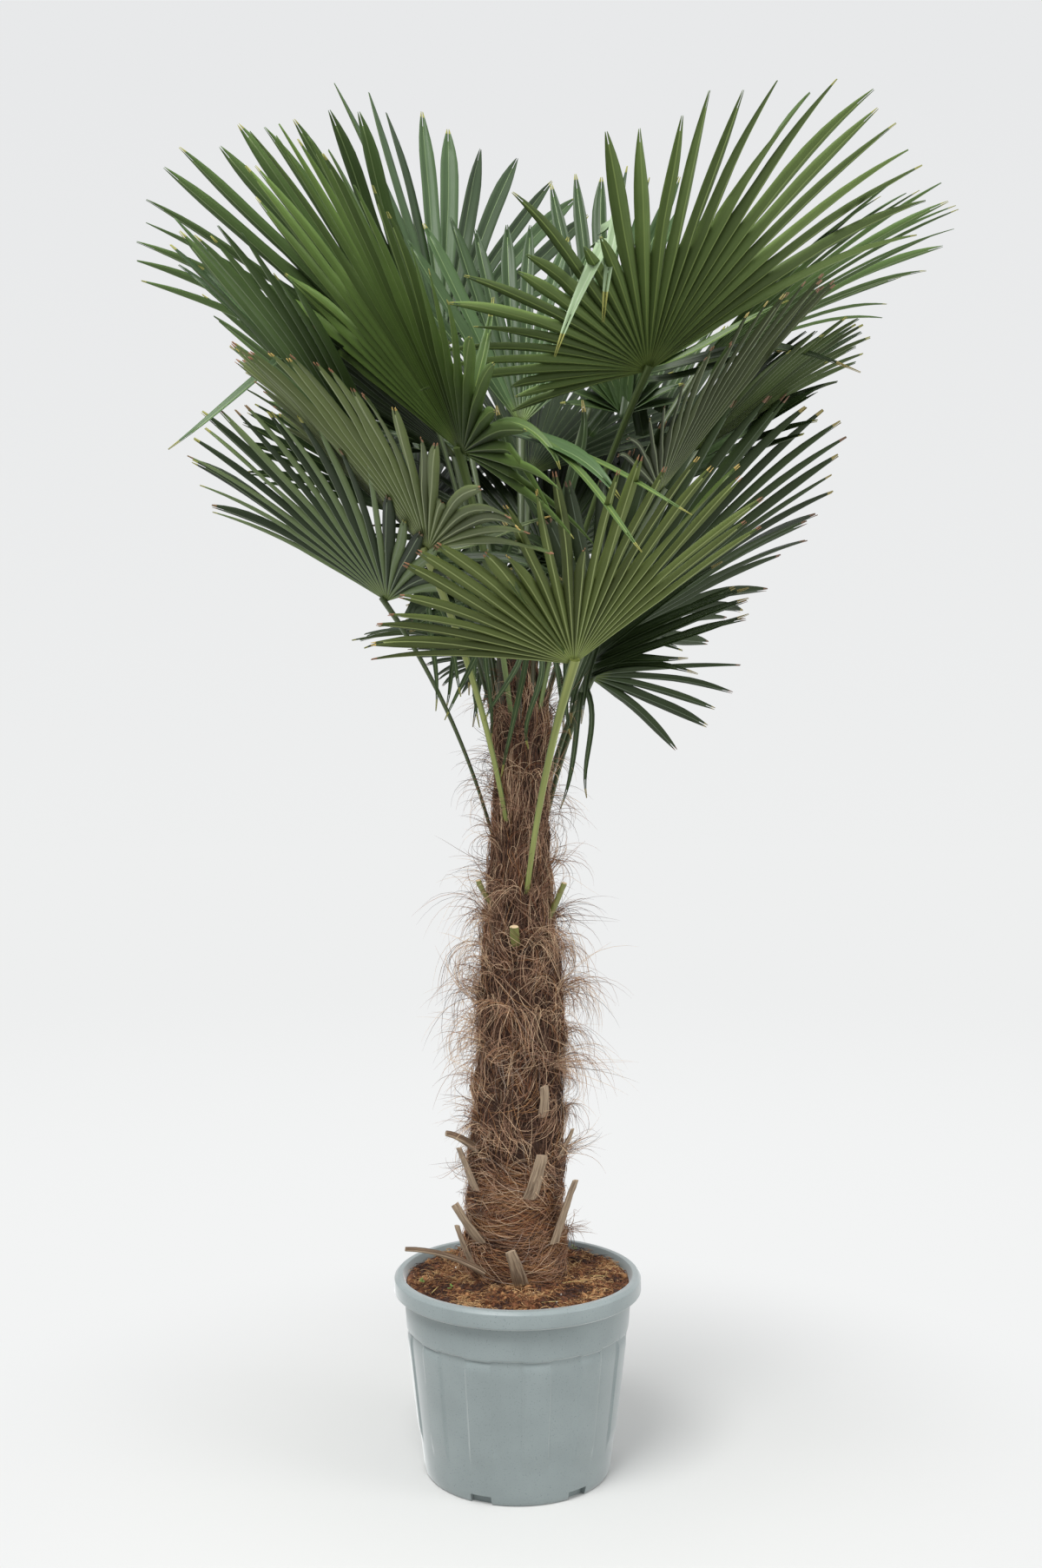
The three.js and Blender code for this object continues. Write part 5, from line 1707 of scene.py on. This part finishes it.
# %% [markdown]
# Weathered stalk has lost its skin: the grey wood is matt and split by fine cracks along its grain.
# The side that faces the trunk is painted darker, as painted shade. A fresh cut is pale and even.

# %% Stubs
WEATHERED, GREEN, CUT, INSIDE = range(4)
CRACK_SIZE = (2.63 * MM, 2.63 * MM, 55.56 * MM)
GREEN_ABOVE = 0.95                    # height in metres over which the stubs are green


def weathered_stalk(name, dark, light):
    """Dry stalk, bleached and matt, with cracks along its grain."""
    return two_toned(name, dark, light, CRACK_SIZE, detail=4.0, fade=(0.30, 0.70), roughness=0.85,
                     relief=1.5 * MM, strength=0.7, grain=True)


def stub_piece():
    """All the stubs as one piece."""
    bm = bmesh.new()
    grain = bm.verts.layers.float_vector.new("grain")
    for name, foot_height, bearing, (outwards, sideways, rise), bow, radii, kind in STUBS:
        radius, lean = (float(value) for value in trunk_axis(foot_height))
        away = level_way(math.radians(bearing))
        side = UP.cross(away)
        foot = Vector((lean, 0, foot_height)) + away * (radius - STUB_DEPTH)
        tip = foot + away * (outwards + STUB_DEPTH) - side * sideways + UP * rise
        middle = foot.lerp(tip, 0.5) + away * bow[0] + UP * bow[1]
        wide, flat = STUB_SECTIONS[kind]
        made = add_limb(bm, foot, middle, tip, side, ((0, 1), radii), wide, flat, sides=14, steps=16)
        for vert in made:
            spot = vert.co * STUB_GRAIN
            vert.co += Vector((noise.noise(spot), noise.noise(spot + UP * 9), 0)) * STUB_DENT
        for face in paint_faces(made, GREEN if kind == "green" else WEATHERED):
            # the side that faces the trunk is painted darker, as painted shade
            shaded_side = sum(vert[grain].y for vert in face.verts) < 0
            if shaded_side and kind != "green":
                face.material_index = INSIDE
    close_ends(bm)
    for face in bm.faces:
        if len(face.verts) > 4:
            face.material_index = CUT if face.calc_center_median().z > GREEN_ABOVE else WEATHERED
    # the last skin is the weathered stalk painted darker, as painted shade on the trunk side
    skins = [weathered_stalk("weathered_stalk", "#6b5846", "#b7a288"),
             plain("green_stalk", "#76793f", 0.5),
             plain("fresh_cut", "#dcc39c", 0.7),
             weathered_stalk("weathered_stalk_painted_shade", "#3c2c20", "#7d6650")]
    finish("stubs", mesh_of(bm, "stubs"), skins,
           [row[0] for row in STUBS if not row[0].startswith("extra")], smooth_angle=50)


stub_piece()

# %% [markdown]
# ## Camera, light and floor
# The plant is seen level from a little under three metres, at half its height. The floor is a
# plain pale disc, and soft light comes from a bright sky all round with two wide lamps in front.

# %% Camera
CAMERA_PLACE = (0.0062, -2.9237, 1.2864)
FRAME_HEIGHT = 36                     # millimetres, like the lens
LENS = 35.5

camera_data = bpy.data.cameras.new("camera")
camera_data.sensor_fit = "VERTICAL"
camera_data.sensor_height = FRAME_HEIGHT
camera_data.lens = LENS
camera = bpy.data.objects.new("camera", camera_data)
camera.location = CAMERA_PLACE
camera.rotation_euler = (math.radians(90), 0, 0)
SCENE.collection.objects.link(camera)
SCENE.camera = camera

# %% [markdown]
# The room behind a studio shot is plain and bright, but most of its light comes from above. So
# the world shows an even pale backdrop to the camera, and lights the plant with a sky that is
# stronger overhead than at the sides. Two wide lamps in front add soft modelling.

# %% Backdrop, sky and lamps
BACKDROP_FOOT = "#f3f4f4"
BACKDROP_LOW = "#eeefef"
BACKDROP_HIGH = "#e8e9ea"
SKY_COLOUR = "#f7f9fb"
SKY_SIDE = 0.27
SKY_TOP = 1.00
SHINE = 0.5                           # how much brighter the room is in reflections

world = bpy.data.worlds.new("soft room")
world.use_nodes = True
room = world.node_tree
room.nodes.clear()
heading = add_node(room, "TexCoord").outputs["Generated"]
height = add_node(room, "SeparateXYZ", {"Vector": heading}).outputs["Z"]
fade = add_node(room, "MapRange", {"Value": height, "From Min": -0.05, "From Max": 0.4})
upper_part = mix_colours(room, fade.outputs["Result"], linear(BACKDROP_LOW), linear(BACKDROP_HIGH))
sink = add_node(room, "MapRange", {"Value": height, "From Min": -0.05, "From Max": -0.24})
backdrop = mix_colours(room, sink.outputs["Result"], upper_part, linear(BACKDROP_FOOT))
seen = add_node(room, "Background", {"Color": backdrop, "Strength": 1.0})
overhead = add_node(room, "MapRange", {"Value": height, "From Min": 0.0, "From Max": 0.9,
                                       "To Min": SKY_SIDE, "To Max": SKY_TOP})
path = add_node(room, "LightPath")
shine = add_node(room, "Math", {0: path.outputs["Is Glossy Ray"], 1: SHINE}, operation="MULTIPLY")
strength = add_node(room, "Math",
                    {0: overhead.outputs["Result"], 1: shine.outputs["Value"]}, operation="ADD")
lit = add_node(room, "Background", {"Color": linear(SKY_COLOUR), "Strength": strength.outputs["Value"]})
both = add_node(room, "MixShader",
                {0: path.outputs["Is Camera Ray"], 1: lit.outputs[0], 2: seen.outputs[0]})
surroundings = add_node(room, "OutputWorld")
room.links.new(both.outputs[0], surroundings.inputs["Surface"])
SCENE.world = world
SCENE.view_settings.view_transform = "Standard"

# name, place, width in metres, power in watts
LAMPS = [("key", (-1.2, -2.4, 4.4), 2.4, 185), ("fill", (3.3, -1.7, 1.9), 2.0, 42)]
LAMP_AIM = Vector((0, 0, 1.3))
for name, place, size, power in LAMPS:
    lamp_data = bpy.data.lights.new(name, "AREA")
    lamp_data.shape = "DISK"
    lamp_data.size = size
    lamp_data.energy = power
    lamp = bpy.data.objects.new(name, lamp_data)
    lamp.location = place
    lamp.rotation_euler = (LAMP_AIM - Vector(place)).to_track_quat("-Z", "Y").to_euler()
    SCENE.collection.objects.link(lamp)
print("lamps:", ", ".join(row[0] for row in LAMPS))

# %% [markdown]
# The floor is a wide pale disc. Near the pot it is lit like any floor and takes the soft
# shadow; farther out it fades into a glow of the backdrop's own colour, an emission that is no
# lamp, so that no horizon shows.

# %% Floor
FLOOR_COLOUR = "#d4d4d2"
FLOOR_NEAR = 0.35                     # distances from the pot's middle where the fading starts,
FLOOR_FAR = 1.35                      # where it has reached the backdrop's foot colour,
FLOOR_END = 7.0                       # and where it has the colour of the backdrop's low part
FLOOR_RADIUS = 30.0

floor_inputs = {"Base Color": linear(FLOOR_COLOUR), "Roughness": 0.95}
painted, tree, shader = new_material("painted_floor", **floor_inputs)
place = add_node(tree, "TexCoord").outputs["Object"]
distance = add_node(tree, "VectorMath", {0: place}, operation="LENGTH").outputs["Value"]
away = add_node(tree, "MapRange",
                {"Value": distance, "From Min": FLOOR_NEAR, "From Max": FLOOR_FAR},
                interpolation_type="SMOOTHSTEP").outputs["Result"]
beyond = add_node(tree, "MapRange",
                  {"Value": distance, "From Min": FLOOR_FAR, "From Max": FLOOR_END},
                  interpolation_type="SMOOTHSTEP").outputs["Result"]
far_colour = mix_colours(tree, beyond, linear(BACKDROP_FOOT), linear(BACKDROP_LOW))
# the far floor glows with the backdrop's colour, though it is no lamp
glow = add_node(tree, "Emission", {"Color": far_colour, "Strength": 1.0})
blend = add_node(tree, "MixShader", {0: away, 1: shader.outputs[0], 2: glow.outputs[0]})
tree.links.new(blend.outputs[0], tree.nodes["Material Output"].inputs["Surface"])
floor_bm = bmesh.new()
bmesh.ops.create_circle(floor_bm, cap_ends=True, segments=96, radius=FLOOR_RADIUS)
floor_mesh = mesh_of(floor_bm, "floor")
floor_mesh.materials.append(painted)
floor = bpy.data.objects.new("floor", floor_mesh)
SCENE.collection.objects.link(floor)
print("floor:", FLOOR_RADIUS, "m to its edge")
